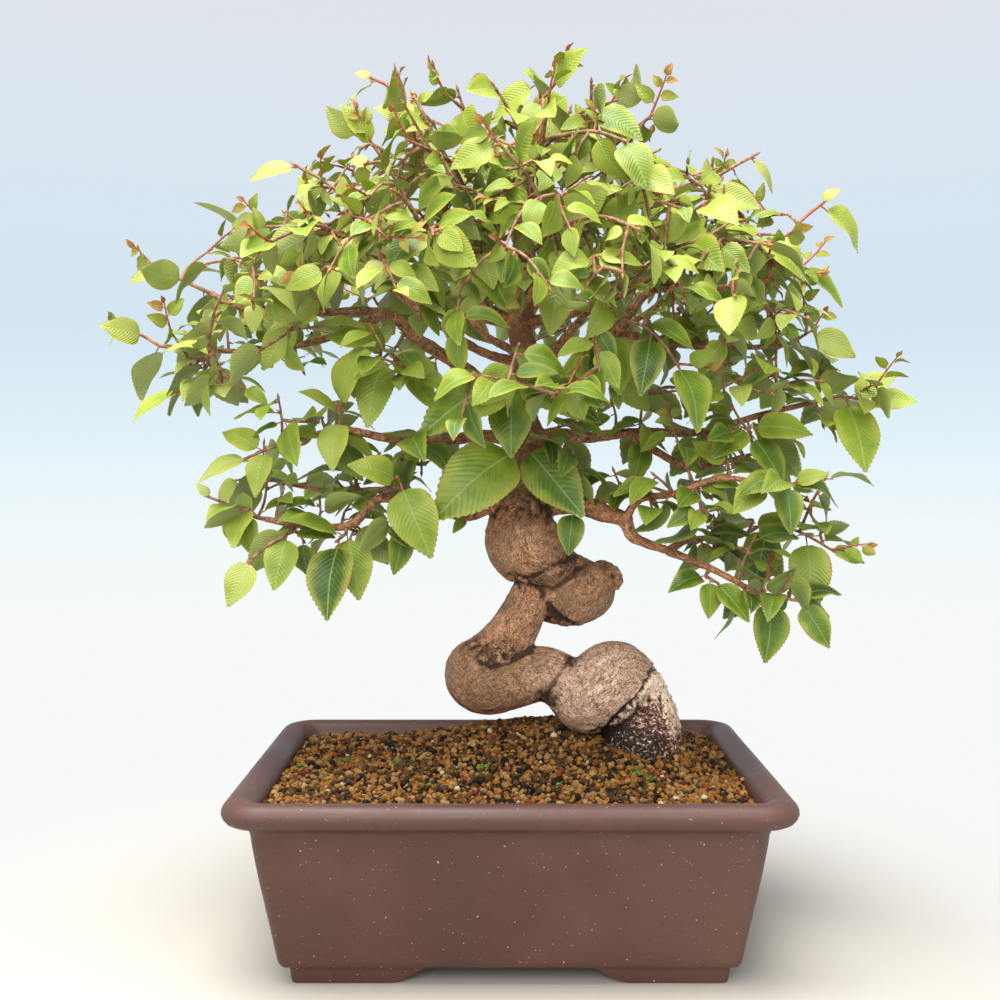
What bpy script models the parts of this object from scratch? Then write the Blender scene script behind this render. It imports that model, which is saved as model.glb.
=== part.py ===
"""Korean hornbeam bonsai in an unglazed rectangular clay pot, written in millimetres and scaled to metres.

X runs along the pot's long side, -Y is the front of the tree and Z is up, with the pot's feet on Z = 0.
A smooth snaking trunk stands in a plain hole in the soil and carries limbs to all sides. Each leafy spray is
a twig with toothed leaves, seated a small gap from its limb.
"""

import math
import random

import bmesh
import bpy
from mathutils import Matrix, Vector
from mathutils.bvhtree import BVHTree

MM = 0.001
GAP = 0.3

# The pot: sizes at the widest line of its lip, which is HALF_LONG by HALF_WIDE from the middle.
HALF_LONG = 114.0
HALF_WIDE = 85.5
LIP_CORNER = 15.0
CORNER_STEPS = 3
BODY_BOTTOM = 8.0
FLOOR_TOP = 14.0
# Each line of the pot's section: how far in from the lip's widest line, and how high.
OUTSIDE = (
    (30.0, 8.0), (21.4, 8.0), (20.4, 9.6), (17.2, 26.0), (13.6, 44.0), (11.2, 58.0), (10.4, 63.6),
    (8.8, 66.4), (5.2, 67.8), (1.8, 69.4), (0.0, 72.8), (0.8, 76.0), (3.2, 78.0), (6.0, 78.5),
)
INSIDE = ((9.4, 77.5), (11.8, 75.3), (13.2, 72.0), (15.4, 62.0), (22.6, 22.0), (26.0, 15.2), (32.0, 14.0))
FOOT_RING = ((25.4, 0.0), (24.9, 3.0), (24.5, 6.0), (24.2, 8.6), (24.2, 11.0))
FOOT_THICK = 10.0
ARCH_TOP = 7.2
FRONT_ARCH = (49.0, 30.0)
SIDE_ARCH = (26.0, 13.0)
DRAIN_X = 45.0
DRAIN_RADIUS = 7.5
SCREEN_SIDE = 24.0
SCREEN_THICK = 1.0
SCREEN_BARS = 2
SCREEN_BAR = 3.0

# The soil: level near the walls, and a mound round the foot of the tree.
SOIL_EDGE = ((32.4, 14.35), (26.5, 15.6), (23.0, 22.2), (15.8, 62.0), (14.2, 70.6))
SOIL_LEVEL = 72.0
MOUND_X, MOUND_Y = 22.0, 16.0
MOUND_HIGH = 18.0
MOUND_LONG, MOUND_WIDE = 76.0, 56.0
MOUND_REACH = (99.0, 71.0)
MOUND_POWER = 6
SOIL_ROUGH = 1.3
SOIL_RINGS = 7
SOIL_SIDES = 24

# The photo's eye point and scale, from which places in it become places on the tree at a chosen depth.
EYE = (-4.0, -572.0, 212.5)
FOCAL = 1281.0
MIDDLE_U, HORIZON_V = 500.0, 458.0

# The thick snaking trunk: u, v in the photo, depth y, radius.
STUMP = (58.0, 0.0)
STUMP_RADIUS = 17.6
STUMP_BOTTOM, STUMP_TOP = 50.0, 83.5
STUMP_ROOM = 0.5
STUMP_SIDES = 16
SNAKE = (
    (642, 739, 0, 18.0), (644, 722, 2, 15.8), (642, 704, 3, 13.6), (634, 690, 2, 13.6),
    (617, 677, -3, 15.6), (603, 688, -5, 17.6), (586, 700, -4, 15.2), (569, 687, -3, 12.6),
    (545, 675, -1, 12.2), (514, 679, 0, 13.6), (487, 682, 0, 15.0), (477, 674, 0, 14.8),
    (487, 661, 0, 12.4), (507, 641, 1, 11.3), (520, 619, 2, 10.4), (528, 600, 4, 9.0),
    (534, 588, 6, 9.4), (552, 596, 10, 12.4), (574, 594, 11, 14.6), (588, 590, 10, 12.6),
    (574, 582, 13, 12.4), (556, 571, 10, 12.0), (540, 556, 3, 14.4), (524, 544, 0, 17.2),
    (520, 526, 0, 14.4), (524, 508, 0, 13.0),
)
KNOBS = ((487, 660, -4, 8.0), (601, 579, 5, 8.6), (660, 728, 3, 8.5))
CORE_TRIANGLES = 740
CORE_VOXEL = 1.6

# The leader above it, of the same kind, then the limbs seen: name, radii at both ends, places in the photo.
LEADER = (
    (523, 522, 0, 12.4), (527, 493, 0, 11.2), (524, 470, 0, 9.0), (527, 440, 0, 8.2), (517, 405, 0, 7.3),
    (528, 365, 0, 6.4), (519, 325, 2, 5.6), (529, 285, 0, 4.7), (521, 240, 0, 3.8), (524, 195, 0, 2.9),
    (520, 152, 0, 1.8),
)
LIMBS = {
    "right_low": (6.4, 1.2, ((529, 503, 0), (575, 503, -6), (600, 512, -10), (625, 520, -14), (634, 538, -16),
                             (668, 551, -22), (716, 571, -28), (755, 592, -30))),
    "right_low_upper": (2.0, 1.1, ((625, 520, -14), (640, 499, -22), (673, 494, -30), (716, 479, -34),
                                   (755, 481, -36))),
    "right_low_back": (2.0, 1.1, ((668, 551, -22), (690, 540, -8), (735, 537, 2))),
    "right_mid": (4.4, 1.2, ((524, 441, 0), (560, 435, 4), (582, 438, 6), (640, 432, 10), (700, 432, 14),
                             (760, 415, 14), (815, 402, 10))),
    "right_mid_front": (2.0, 1.1, ((629, 434, 9), (681, 465, 0), (712, 465, -6), (745, 456, -10))),
    "left_low": (5.2, 1.2, ((522, 495, 0), (497, 501, -5), (465, 514, -10), (420, 503, -16), (379, 499, -20),
                            (350, 525, -22), (305, 526, -24), (265, 519, -24))),
    "left_low_back": (2.0, 1.1, ((420, 503, -16), (385, 490, 4), (335, 492, 22), (290, 484, 36))),
    "left_mid": (3.8, 1.2, ((524, 441, 0), (480, 436, -7), (429, 443, -14), (385, 438, -22), (340, 430, -26),
                            (290, 442, -28))),
    "up_left": (4.8, 1.2, ((521, 395, 0), (483, 383, -7), (460, 366, -10), (414, 337, -16), (386, 314, -20),
                           (320, 313, -20), (254, 312, -16), (212, 294, -12))),
    "left_edge": (2.2, 1.1, ((386, 314, -20), (330, 338, -2), (260, 352, 10), (200, 350, 14),
                             (168, 347, 14))),
    "up_right": (4.8, 1.2, ((521, 390, 0), (575, 375, -7), (615, 332, -14), (650, 292, -20), (700, 290, -24),
                            (755, 286, -26))),
    "right_edge": (2.2, 1.1, ((615, 332, -14), (680, 345, 0), (735, 348, 8), (778, 346, 10))),
    "top_left": (2.8, 1.2, ((527, 290, 0), (480, 248, -12), (440, 205, -20), (418, 150, -22))),
    "top_right": (2.6, 1.2, ((526, 270, 0), (585, 232, -8), (645, 200, -12), (700, 185, -14))),
}
LEADER_SIDES, LIMB_SIDES, THIN_SIDES = 8, 6, 4
THIN_LIMB = 3.1
LIMB_TAPER = 1.5
LIMB_STEP = 22.0

# Sprays seen in the photo: limb, twig by places in it, leaves by root and tip, and how many more by rule.
SPRAYS = {
    "spray_front_upper": ("leader", ((514, 382, -14), (513, 380, -27)),
                          ((512, 380, -27, 422, 433, -44), (513, 380, -26, 603, 422, -40),
                           (513, 382, -24, 507, 452, -38)), 0),
    "spray_front_lower": ("leader", ((523, 441, -14), (522, 447, -24)),
                          ((522, 446, -24, 432, 519, -36), (522, 444, -20, 579, 512, -30)), 0),
    "spray_front_left": ("leader", ((508, 258, -20), (480, 254, -36), (462, 252, -42)),
                         ((463, 252, -42, 514, 313, -56), (461, 252, -42, 440, 297, -56)), 3),
    "spray_front_right": ("leader", ((536, 264, -18), (556, 270, -34), (578, 276, -42)),
                          ((545, 268, -28, 543, 346, -46), (572, 275, -40, 616, 309, -50),
                           (578, 276, -42, 622, 258, -50)), 2),
    "spray_right_centre": ("up_right", ((597, 348, -26), (606, 328, -34), (630, 322, -50), (656, 336, -54),
                                        (676, 364, -54)),
                           ((606, 328, -34, 622, 395, -44), (650, 334, -54, 640, 394, -62),
                            (676, 364, -54, 702, 430, -62)), 2),
    "spray_left_pad_tip": ("left_low", ((243, 512, -24), (224, 503, -24), (208, 497, -23)),
                           ((246, 513, -24, 252, 556, -30), (232, 506, -24, 238, 548, -16),
                            (208, 497, -23, 197, 482, -22)), 0),
    "spray_left_pad_outer": ("left_low", ((290, 532, -30), (268, 545, -36), (250, 560, -38)),
                             ((287, 533, -31, 272, 590, -42), (252, 558, -38, 225, 606, -44)), 2),
    "spray_left_pad_middle": ("left_low", ((346, 533, -29), (338, 540, -36)),
                              ((346, 532, -28, 358, 600, -38), (339, 539, -36, 324, 620, -50),
                               (344, 536, -32, 284, 518, -46)), 0),
    "spray_left_pad_inner": ("left_low", ((402, 488, -26), (398, 478, -34)),
                             ((399, 480, -32, 431, 558, -38), (398, 478, -34, 350, 462, -44)), 1),
    "spray_left_skirt": ("left_mid", ((270, 448, -30), (247, 458, -32)),
                         ((247, 458, -32, 198, 481, -36), (268, 449, -30, 254, 496, -38),
                          (262, 452, -31, 222, 430, -26)), 2),
    "spray_left_inner": ("left_mid", ((343, 421, -30), (338, 408, -34)),
                         ((338, 408, -34, 370, 340, -44), (340, 414, -32, 300, 392, -44),
                          (342, 418, -31, 330, 470, -40)), 0),
    "spray_left_upper": ("up_left", ((398, 346, -26), (384, 358, -34)),
                         ((384, 358, -34, 364, 426, -42), (390, 353, -31, 429, 415, -40),
                          (386, 356, -33, 334, 345, -42)), 0),
    "spray_right_pad_tip": ("right_low", ((775, 597, -30), (803, 602, -30)),
                            ((770, 596, -30, 767, 664, -36), (803, 602, -30, 833, 648, -34),
                             (800, 601, -30, 848, 592, -24)), 0),
    "spray_right_pad_inner": ("right_low", ((706, 576, -34), (716, 582, -38)),
                              ((709, 578, -36, 711, 619, -40), (716, 582, -38, 751, 622, -44),
                               (706, 575, -34, 668, 590, -42)), 0),
    "spray_right_pad_back": ("right_low_back", ((768, 524, -2), (800, 532, -6), (832, 550, -6)),
                             ((768, 524, -2, 752, 592, -12), (806, 534, -6, 815, 610, -14),
                              (832, 550, -6, 866, 562, -6)), 1),
    "spray_right_pad_upper": ("right_low_upper", ((774, 482, -36), (796, 484, -36)),
                              ((796, 484, -36, 829, 473, -38), (784, 483, -36, 793, 534, -44),
                               (766, 482, -36, 726, 518, -44)), 1),
    "spray_right_middle": ("right_mid_front", ((752, 443, -14), (748, 424, -18)),
                           ((750, 434, -16, 784, 484, -24), (748, 424, -18, 711, 458, -28),
                            (748, 424, -18, 811, 432, -24)), 0),
    "spray_right_skirt": ("right_mid", ((840, 396, 8), (866, 402, 6)),
                          ((866, 402, 6, 917, 402, 2), (848, 397, 8, 897, 374, 2),
                           (856, 400, 7, 878, 467, -4)), 2),
    "spray_left_tip": ("up_left", ((183, 281, -12), (158, 271, -12)), ((158, 271, -12, 131, 283, -12),), 3),
    "spray_left_edge": ("left_edge", ((144, 336, 14), (126, 332, 14)), ((126, 332, 14, 109, 345, 14),), 3),
    "spray_left_shade": ("left_edge", ((205, 372, 6), (182, 392, 2)), (), 3),
    "spray_left_shoulder": ("up_left", ((292, 330, -30), (262, 350, -38)), (), 3),
    "spray_left_top": ("up_left", ((322, 286, -26), (300, 262, -30), (280, 240, -30)), (), 3),
    "spray_right_tip": ("up_right", ((776, 262, -26), (796, 226, -24), (822, 204, -22)),
                        ((822, 204, -22, 838, 190, -22),), 3),
    "spray_right_edge": ("right_edge", ((796, 340, 10), (812, 330, 8)), (), 3),
    "spray_right_shade": ("right_mid", ((762, 440, 22), (772, 462, 28)), (), 3),
    "spray_top_left": ("top_left", ((410, 118, -22), (392, 92, -20), (372, 82, -18)),
                       ((372, 82, -18, 356, 76, -17),), 4),
    "spray_top_right": ("top_right", ((730, 170, -14), (752, 158, -12)), (), 3),
    "spray_left_low_back": ("left_low_back", ((262, 478, 44), (238, 480, 50)), (), 3),
    "spray_peak": ("leader", ((532, 124, -2), (540, 100, -3), (536, 84, -3)),
                   ((536, 84, -3, 522, 72, -4),), 4),
}

# The rest of the dome by rule: how far out, how many sprays, the first one's bearing and its limb's reach.
DOME_LONG, DOME_WIDE = 143.0, 110.0
DOME_TOP, DOME_FALL, DOME_POWER = 376.0, 94.0, 2.2
DOME_RINGS = ((0.22, 4, 210.0, 0.0), (0.50, 7, 22.0, 0.0), (0.85, 11, 16.0, 0.58))
DOME_LEAVES = (3, 3, 3)
DOME_LIMB = (3.0, 1.2)
DOME_RIGHT = 0.95
# Side twigs of each ring's sprays, by how far round and how far out they end.
DOME_SIDES = (((26, 0.36),), ((17, 0.66), (-20, 0.36)), ((11.5, 0.93), (-12, 0.68)))
SIDE_REACH = (13.0, 52.0)
SIDE_LEAVES = 3
SIDE_ROOT = 0.5
TWIG_SIDES = 3
TWIG_STEP = 24.0
TWIG_ROOT, TWIG_TIP = 1.0, 0.62
TWIG_RISE = 48.0
SEAT_GAP = 0.36
SEAT_RUN = 3.0

# A leaf's edge: shares of its length along the midrib, and of its half width out from it.
LEAF_EDGE = ((0.20, 0.88), (0.56, 0.92))
LEAF_THICK = 0.7
LEAF_LENGTH = (26.0, 37.0)
LEAF_WIDTH = (0.52, 0.62)
LEAF_TRIES = 40
TWIG_TRIES = 40
LEVEL_SHARE = 0.25
TOP_LEAF = 0.16
TREE_TOP = 384.0
ROOT_DEPTH = 0.9
LEAF_ROOM = 0.35
LEAF_GROW = 1.05
ROOT_SHARE = 0.14
FIRST_LEAF = 0.36
LEAF_SWAY = 0.28
FACING_SPREAD = 1.5
DRAWN_FACING = (0.0, -0.8, 0.75)

BARK = (0.30, 0.20, 0.14)
CLAY = (0.155, 0.085, 0.072)
EARTH = (0.34, 0.17, 0.07)
LEAF_GREEN = (0.11, 0.24, 0.045)
SCREEN_BLACK = (0.02, 0.02, 0.02)
SHARP_ANGLE = 55.0


def seen(u, v, y):
    """The place at depth y that shows at u, v in the photo."""
    reach = (y - EYE[1]) / FOCAL
    return (EYE[0] + (u - MIDDLE_U) * reach, y, EYE[2] - (v - HORIZON_V) * reach)


def curve_through(points, step):
    """Points about step apart on a smooth curve through these. A radius in fourth place goes along."""
    found = []
    last = len(points) - 1
    for i in range(last):
        ends = (points[max(i - 1, 0)], points[i], points[i + 1], points[min(i + 2, last)])
        count = max(1, round(math.dist(points[i][:3], points[i + 1][:3]) / step))
        for k in range(count):
            t = k / count
            found.append(tuple(
                b + 0.5 * t * (c - a + t * (2 * a - 5 * b + 4 * c - d + t * (3 * (b - c) + d - a)))
                for a, b, c, d in zip(*ends)
            ))
    found.append(tuple(points[last]))
    return found


def with_radius(points, first, last, taper=1.0):
    """The points with a radius in fourth place that goes from first to last, sooner with a higher taper."""
    whole = max(1, len(points) - 1)
    return [(*p[:3], last + (first - last) * (1 - i / whole) ** taper) for i, p in enumerate(points)]


def tube(path, sides):
    """Points and faces of a closed tube round a path of x, y, z, radius."""
    places = [Vector(p[:3]) for p in path]
    points, faces = [], []
    across = None
    for i, place in enumerate(places):
        along = (places[min(i + 1, len(places) - 1)] - places[max(i - 1, 0)]).normalized()
        if across is None:
            across = along.orthogonal().normalized()
        across = (across - along * across.dot(along)).normalized()
        other = along.cross(across)
        for k in range(sides):
            turn = 2 * math.pi * k / sides
            points.append(place + path[i][3] * (math.cos(turn) * across + math.sin(turn) * other))
    for i in range(len(places) - 1):
        for k in range(sides):
            a, b = i * sides + k, i * sides + (k + 1) % sides
            faces.append((a, b, b + sides, a + sides))
    faces.append(tuple(range(sides - 1, -1, -1)))
    faces.append(tuple(range(len(points) - sides, len(points))))
    return points, faces


def leaf_place(leaf, along, out):
    """The place on a leaf at a share of its length, and a share of its length out from the midrib."""
    root, tip, normal, arch, fold = leaf["root"], leaf["tip"], leaf["normal"], leaf["arch"], leaf["fold"]
    axis = tip - root
    side = axis.cross(normal).normalized()
    face = side.cross(axis).normalized()
    length = axis.length
    lift = arch * math.sin(math.pi * along) + fold * abs(out)
    return root + axis * along + side * out * length + face * lift * length


def leaf_solid(leaf, thick, grow=1.0):
    """Points and faces of a leaf as a thin closed plate folded on its midrib, alike on both faces."""
    half = leaf["width"] / 2 * grow
    rim = [(0.0, 0.0)] + [(t, w * half) for t, w in LEAF_EDGE] + [(1.0, 0.0)]
    rim += [(t, -w * half) for t, w in reversed(LEAF_EDGE)]
    axis = leaf["tip"] - leaf["root"]
    face = axis.cross(leaf["normal"]).cross(axis).normalized()
    top = [leaf_place(leaf, t, w) for t, w in rim]
    points = [p + face * (thick / 2) for p in top] + [p - face * (thick / 2) for p in top]
    faces = []
    count, end = len(rim), len(LEAF_EDGE) + 1
    for i in range(count):
        j = (i + 1) % count
        if end not in (i, j):
            faces.append((j, i, end))
            faces.append((count + i, count + j, count + end))
        faces.append((i, j, count + j))
        faces.append((i, count + j, count + i))
    return points, faces


def mesh_object(name, points, faces):
    """A mesh object from points in millimetres."""
    mesh = bpy.data.meshes.new(name)
    mesh.from_pydata([Vector(p) * MM for p in points], [], faces)
    work = bmesh.new()
    work.from_mesh(mesh)
    bmesh.ops.recalc_face_normals(work, faces=work.faces)
    work.to_mesh(mesh)
    work.free()
    made = bpy.data.objects.new(name, mesh)
    bpy.context.scene.collection.objects.link(made)
    return made


def settle(obj):
    """Replaces an object's mesh by what its modifiers make of it."""
    bpy.context.view_layer.update()
    graph = bpy.context.evaluated_depsgraph_get()
    mesh = bpy.data.meshes.new_from_object(obj.evaluated_get(graph))
    obj.modifiers.clear()
    obj.data = mesh


def combine(target, others, operation, solver="EXACT"):
    """One Boolean of the target with all the others, which are then removed."""
    group = bpy.data.collections.new("joined")
    bpy.context.scene.collection.children.link(group)
    for other in others:
        for held in other.users_collection:
            held.objects.unlink(other)
        group.objects.link(other)
    boolean = target.modifiers.new("join", "BOOLEAN")
    boolean.operation = operation
    boolean.operand_type = "COLLECTION"
    boolean.collection = group
    boolean.solver = solver
    settle(target)
    for other in others:
        bpy.data.objects.remove(other)
    bpy.data.collections.remove(group)


def paint(obj, name, colour, roughness):
    """Gives an object its own plain material."""
    material = bpy.data.materials.new(name)
    material.use_nodes = True
    shader = material.node_tree.nodes["Principled BSDF"]
    shader.inputs["Base Color"].default_value = (*colour, 1.0)
    shader.inputs["Roughness"].default_value = roughness
    obj.data.materials.clear()
    obj.data.materials.append(material)


def smooth_over(obj):
    """Shades a round piece smooth, but for its real edges."""
    obj.data.shade_smooth()
    obj.data.set_sharp_from_angle(angle=math.radians(SHARP_ANGLE))


def rounded_loop(half_long, half_wide, corner, z):
    """A rounded rectangle seen from above, counter-clockwise."""
    points = []
    for quarter, (sx, sy) in enumerate(((1, 1), (-1, 1), (-1, -1), (1, -1))):
        for k in range(CORNER_STEPS + 1):
            turn = math.pi / 2 * (quarter + k / CORNER_STEPS)
            x = sx * (half_long - corner) + corner * math.cos(turn)
            y = sy * (half_wide - corner) + corner * math.sin(turn)
            points.append((x, y, z))
    return points


def section_loop(inset, z):
    """The pot's rounded outline this far in from its lip's widest line."""
    return rounded_loop(HALF_LONG - inset, HALF_WIDE - inset, max(LIP_CORNER - 0.55 * inset, 3.0), z)


def evened(loop, count):
    """The same closed loop with this many points, equally far apart along it."""
    ends = loop[1:] + loop[:1]
    lengths = [math.dist(a, b) for a, b in zip(loop, ends)]
    step = sum(lengths) / count
    points, done = [], 0.0
    for a, b, length in zip(loop, ends, lengths):
        while len(points) * step < done + length - 1e-6:
            share = (len(points) * step - done) / length
            points.append(tuple(p + (q - p) * share for p, q in zip(a, b)))
        done += length
    return points[:count]


def loft(loops):
    """Points and faces of a closed body through loops of equal count, with flat faces at both ends."""
    points, faces = [], []
    count = len(loops[0])
    for loop in loops:
        points.extend(loop)
    for i in range(len(loops) - 1):
        for k in range(count):
            a, b = i * count + k, i * count + (k + 1) % count
            faces.append((a, b, b + count, a + count))
    faces.append(tuple(range(count - 1, -1, -1)))
    faces.append(tuple(range(len(points) - count, len(points))))
    return points, faces


def upright(x, y, radius, bottom, top, sides):
    """An upright round bar."""
    return tube([(x, y, bottom, radius), (x, y, top, radius)], sides)


def arch_cutter(bottom_half, top_half, turned):
    """A bar with an ogee on both sides, which opens the pot's foot ring between two feet."""
    steps = 6
    outline = []
    for k in range(steps + 1):
        share = k / steps
        ease = share * share * (3 - 2 * share)
        outline.append((bottom_half + (top_half - bottom_half) * share, ARCH_TOP * ease))
    outline = [(bottom_half + 1.0, -3.0)] + outline
    outline = outline + [(-x, z) for x, z in reversed(outline)]
    reach = HALF_LONG
    loops = [[(x, side * reach, z) for x, z in outline] for side in (-1, 1)]
    if turned:
        loops = [[(y, x, z) for x, y, z in loop] for loop in loops]
    return loft(loops)


def build_pot():
    loops = [section_loop(inset, z) for inset, z in OUTSIDE + INSIDE]
    pot = mesh_object("pot", *loft(loops))
    outer = [section_loop(inset, z) for inset, z in FOOT_RING]
    inner = [section_loop(inset + FOOT_THICK, z) for inset, z in FOOT_RING]
    ring = mesh_object("ring", *loft(outer))
    low = [section_loop(FOOT_RING[0][0] + FOOT_THICK, -3.0)]
    high = [section_loop(FOOT_RING[-1][0] + FOOT_THICK, 9.0)]
    hollow = mesh_object("hollow", *loft(low + inner[1:-1] + high))
    cutters = [
        hollow,
        mesh_object("front_arch", *arch_cutter(*FRONT_ARCH, False)),
        mesh_object("side_arch", *arch_cutter(*SIDE_ARCH, True)),
    ]
    combine(ring, cutters, "DIFFERENCE")
    combine(pot, [ring], "UNION")
    holes = [upright(side * DRAIN_X, 0, DRAIN_RADIUS, -2, FLOOR_TOP + 3, 16) for side in (-1, 1)]
    combine(pot, [mesh_object("hole", *hole) for hole in holes], "DIFFERENCE")
    paint(pot, "clay", CLAY, 0.55)
    smooth_over(pot)


def box(x0, x1, y0, y1, z0, z1):
    """Points and faces of a box."""
    loops = [[(x0, y0, z), (x1, y0, z), (x1, y1, z), (x0, y1, z)] for z in (z0, z1)]
    return loft(loops)


def build_screen(name, x):
    """A square of drainage mesh lying on the pot's floor over one hole."""
    half = SCREEN_SIDE / 2
    bottom = FLOOR_TOP + GAP
    screen = mesh_object(name, *box(x - half, x + half, -half, half, bottom, bottom + SCREEN_THICK))
    pitch = (SCREEN_SIDE - SCREEN_BAR) / SCREEN_BARS
    cutters = []
    for i in range(SCREEN_BARS):
        for j in range(SCREEN_BARS):
            x0 = x - half + SCREEN_BAR + i * pitch
            y0 = -half + SCREEN_BAR + j * pitch
            side = pitch - SCREEN_BAR
            hole = box(x0, x0 + side, y0, y0 + side, bottom - 1, bottom + 3)
            cutters.append(mesh_object("mesh_hole", *hole))
    combine(screen, cutters, "DIFFERENCE")
    paint(screen, name, SCREEN_BLACK, 0.6)


def soil_height(x, y):
    """How high the soil stands, without its grains."""
    spread = ((x - MOUND_X) / MOUND_LONG) ** 2 + ((y - MOUND_Y) / MOUND_WIDE) ** 2
    edge = min(1.0, max(abs(x) / MOUND_REACH[0], abs(y) / MOUND_REACH[1]))
    return SOIL_LEVEL + MOUND_HIGH * math.exp(-spread) * (1 - edge ** MOUND_POWER)


def build_soil():
    rng = random.Random(5)
    loops = [evened(section_loop(inset, z), SOIL_SIDES) for inset, z in SOIL_EDGE]
    top = loops[-1]
    for ring in range(1, SOIL_RINGS + 1):
        share = 1 - ring / (SOIL_RINGS + 0.4)
        loop = []
        for x, y, _ in top:
            x, y = x * share, y * share
            loop.append((x, y, soil_height(x, y) + rng.uniform(-SOIL_ROUGH, SOIL_ROUGH)))
        loops.append(loop)
    points, faces = loft(loops)
    faces.pop()
    points.append((0.0, 0.0, soil_height(0, 0)))
    first = len(points) - 1 - len(loops[0])
    for k in range(len(loops[0])):
        faces.append((first + k, first + (k + 1) % len(loops[0]), len(points) - 1))
    soil = mesh_object("soil", points, faces)
    half = SCREEN_SIDE / 2 + 2 * GAP
    cutters = [
        mesh_object("bed", *box(x - half, x + half, -half, half, 10.0, FLOOR_TOP + SCREEN_THICK + 2.2 * GAP))
        for x in (-DRAIN_X, DRAIN_X)
    ]
    hole = upright(*STUMP, STUMP_RADIUS + STUMP_ROOM, STUMP_BOTTOM - GAP, 120.0, STUMP_SIDES)
    cutters.append(mesh_object("stump_hole", *hole))
    combine(soil, cutters, "DIFFERENCE")
    paint(soil, "soil", EARTH, 0.95)


def ball(place, radius, rough, rng):
    """Points and faces of a slightly uneven ball."""
    work = bmesh.new()
    bmesh.ops.create_icosphere(work, subdivisions=2, radius=radius)
    points = [Vector(place) + v.co * (1 + rng.uniform(-rough, rough)) for v in work.verts]
    faces = [tuple(v.index for v in f.verts) for f in work.faces]
    work.free()
    return points, faces


def build_core():
    """The thick snaking trunk: balls along its route, melted together and thinned to a few large facets."""
    rng = random.Random(3)
    route = curve_through([(*seen(u, v, y), r) for u, v, y, r in SNAKE], 3.0)
    route += [(*seen(u, v, y), r) for u, v, y, r in KNOBS]
    points, faces = [], []
    for x, y, z, r in route:
        more, sides = ball((x, y, z), r, 0.015, rng)
        faces += [tuple(i + len(points) for i in side) for side in sides]
        points += more
    core = mesh_object("core", points, faces)
    remesh = core.modifiers.new("melt", "REMESH")
    remesh.mode = "VOXEL"
    remesh.voxel_size = CORE_VOXEL * MM
    smooth = core.modifiers.new("smooth", "SMOOTH")
    smooth.iterations = 4
    settle(core)
    thin = core.modifiers.new("thin", "DECIMATE")
    thin.ratio = CORE_TRIANGLES / (2 * len(core.data.polygons))
    thin.use_collapse_triangulate = True
    settle(core)
    return core


def dome_place(bearing, out):
    """A place just under the dome's surface, by its bearing and how far out it is."""
    turn = math.radians(bearing)
    x = 3 + DOME_LONG * out * math.cos(turn) * (DOME_RIGHT if math.cos(turn) > 0 else 1)
    y = DOME_WIDE * out * math.sin(turn)
    return (x, y, DOME_TOP - DOME_FALL * out ** DOME_POWER)


def all_limbs():
    """Every limb's path of x, y, z, radius: the leader, those seen and those of the dome."""
    limbs = {"leader": curve_through([(*seen(u, v, y), r) for u, v, y, r in LEADER], LIMB_STEP)}
    for name, (first, last, places) in LIMBS.items():
        path = curve_through([seen(*place) for place in places], LIMB_STEP)
        limbs[name] = with_radius(path, first, last, LIMB_TAPER)
    for out, count, bearing, reach in DOME_RINGS:
        for k in range(count if reach else 0):
            rng = random.Random(100 + k)
            tip = Vector(dome_place(bearing + 360 * k / count, out))
            start = min(limbs["leader"], key=lambda p: abs(p[2] - (tip.z - 52 + 9 * (k % 3))))
            root = Vector(start[:3])
            places = [root]
            for share in (0.35, 0.7, 1.0):
                place = root.lerp(tip, share * reach)
                sag = 5 * math.sin(math.pi * share)
                place += Vector((rng.uniform(-4, 4), rng.uniform(-4, 4), rng.uniform(-2, 2) - sag))
                places.append(place)
            path = curve_through([tuple(p) for p in places], LIMB_STEP)
            limbs[f"dome_{k}"] = with_radius(path, *DOME_LIMB, LIMB_TAPER)
    return limbs


def build_trunk(limbs):
    trunk = mesh_object("trunk", *upright(*STUMP, STUMP_RADIUS, STUMP_BOTTOM, STUMP_TOP, STUMP_SIDES))
    pieces = [build_core()]
    for name, path in limbs.items():
        sides = THIN_SIDES if path[0][3] < THIN_LIMB else LIMB_SIDES
        pieces.append(mesh_object(name, *tube(path, LEADER_SIDES if name == "leader" else sides)))
    combine(trunk, pieces, "UNION")
    paint(trunk, "bark", BARK, 0.7)
    smooth_over(trunk)
    return trunk


def nearest_on(path, place):
    """The place on a path nearest to this one, its radius, the path's direction there and how far along."""
    best = None
    for i, (a, b) in enumerate(zip(path, path[1:])):
        start, run = Vector(a[:3]), Vector(b[:3]) - Vector(a[:3])
        share = min(1.0, max(0.0, (place - start).dot(run) / run.length_squared))
        here = start + run * share
        away = (place - here).length
        if best is None or away < best[0]:
            best = (away, here, a[3] + (b[3] - a[3]) * share, run.normalized(), i + share)
    return best[1:]


def seat_twig(limb, places):
    """The twig's path, started a gap off the limb: past its end where it goes on, or square off its side."""
    first = Vector(places[0])
    place, radius, along, place_along = nearest_on(limb, first)
    out = first - place
    if place_along > len(limb) - 1.01 and out.dot(along) > 0.5 * out.length:
        start, out = place + along * SEAT_GAP, along
    else:
        out = (out - along * out.dot(along)).normalized()
        start = place + out * (radius + SEAT_GAP)
    rest = [p for p in places if (Vector(p) - start).length > SEAT_RUN * 1.5]
    return [tuple(start), tuple(start + out * SEAT_RUN)] + rest


def stray_vector(rng):
    """A random step of up to 1 along each axis."""
    return Vector([rng.uniform(-1, 1) for _ in range(3)])


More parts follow.
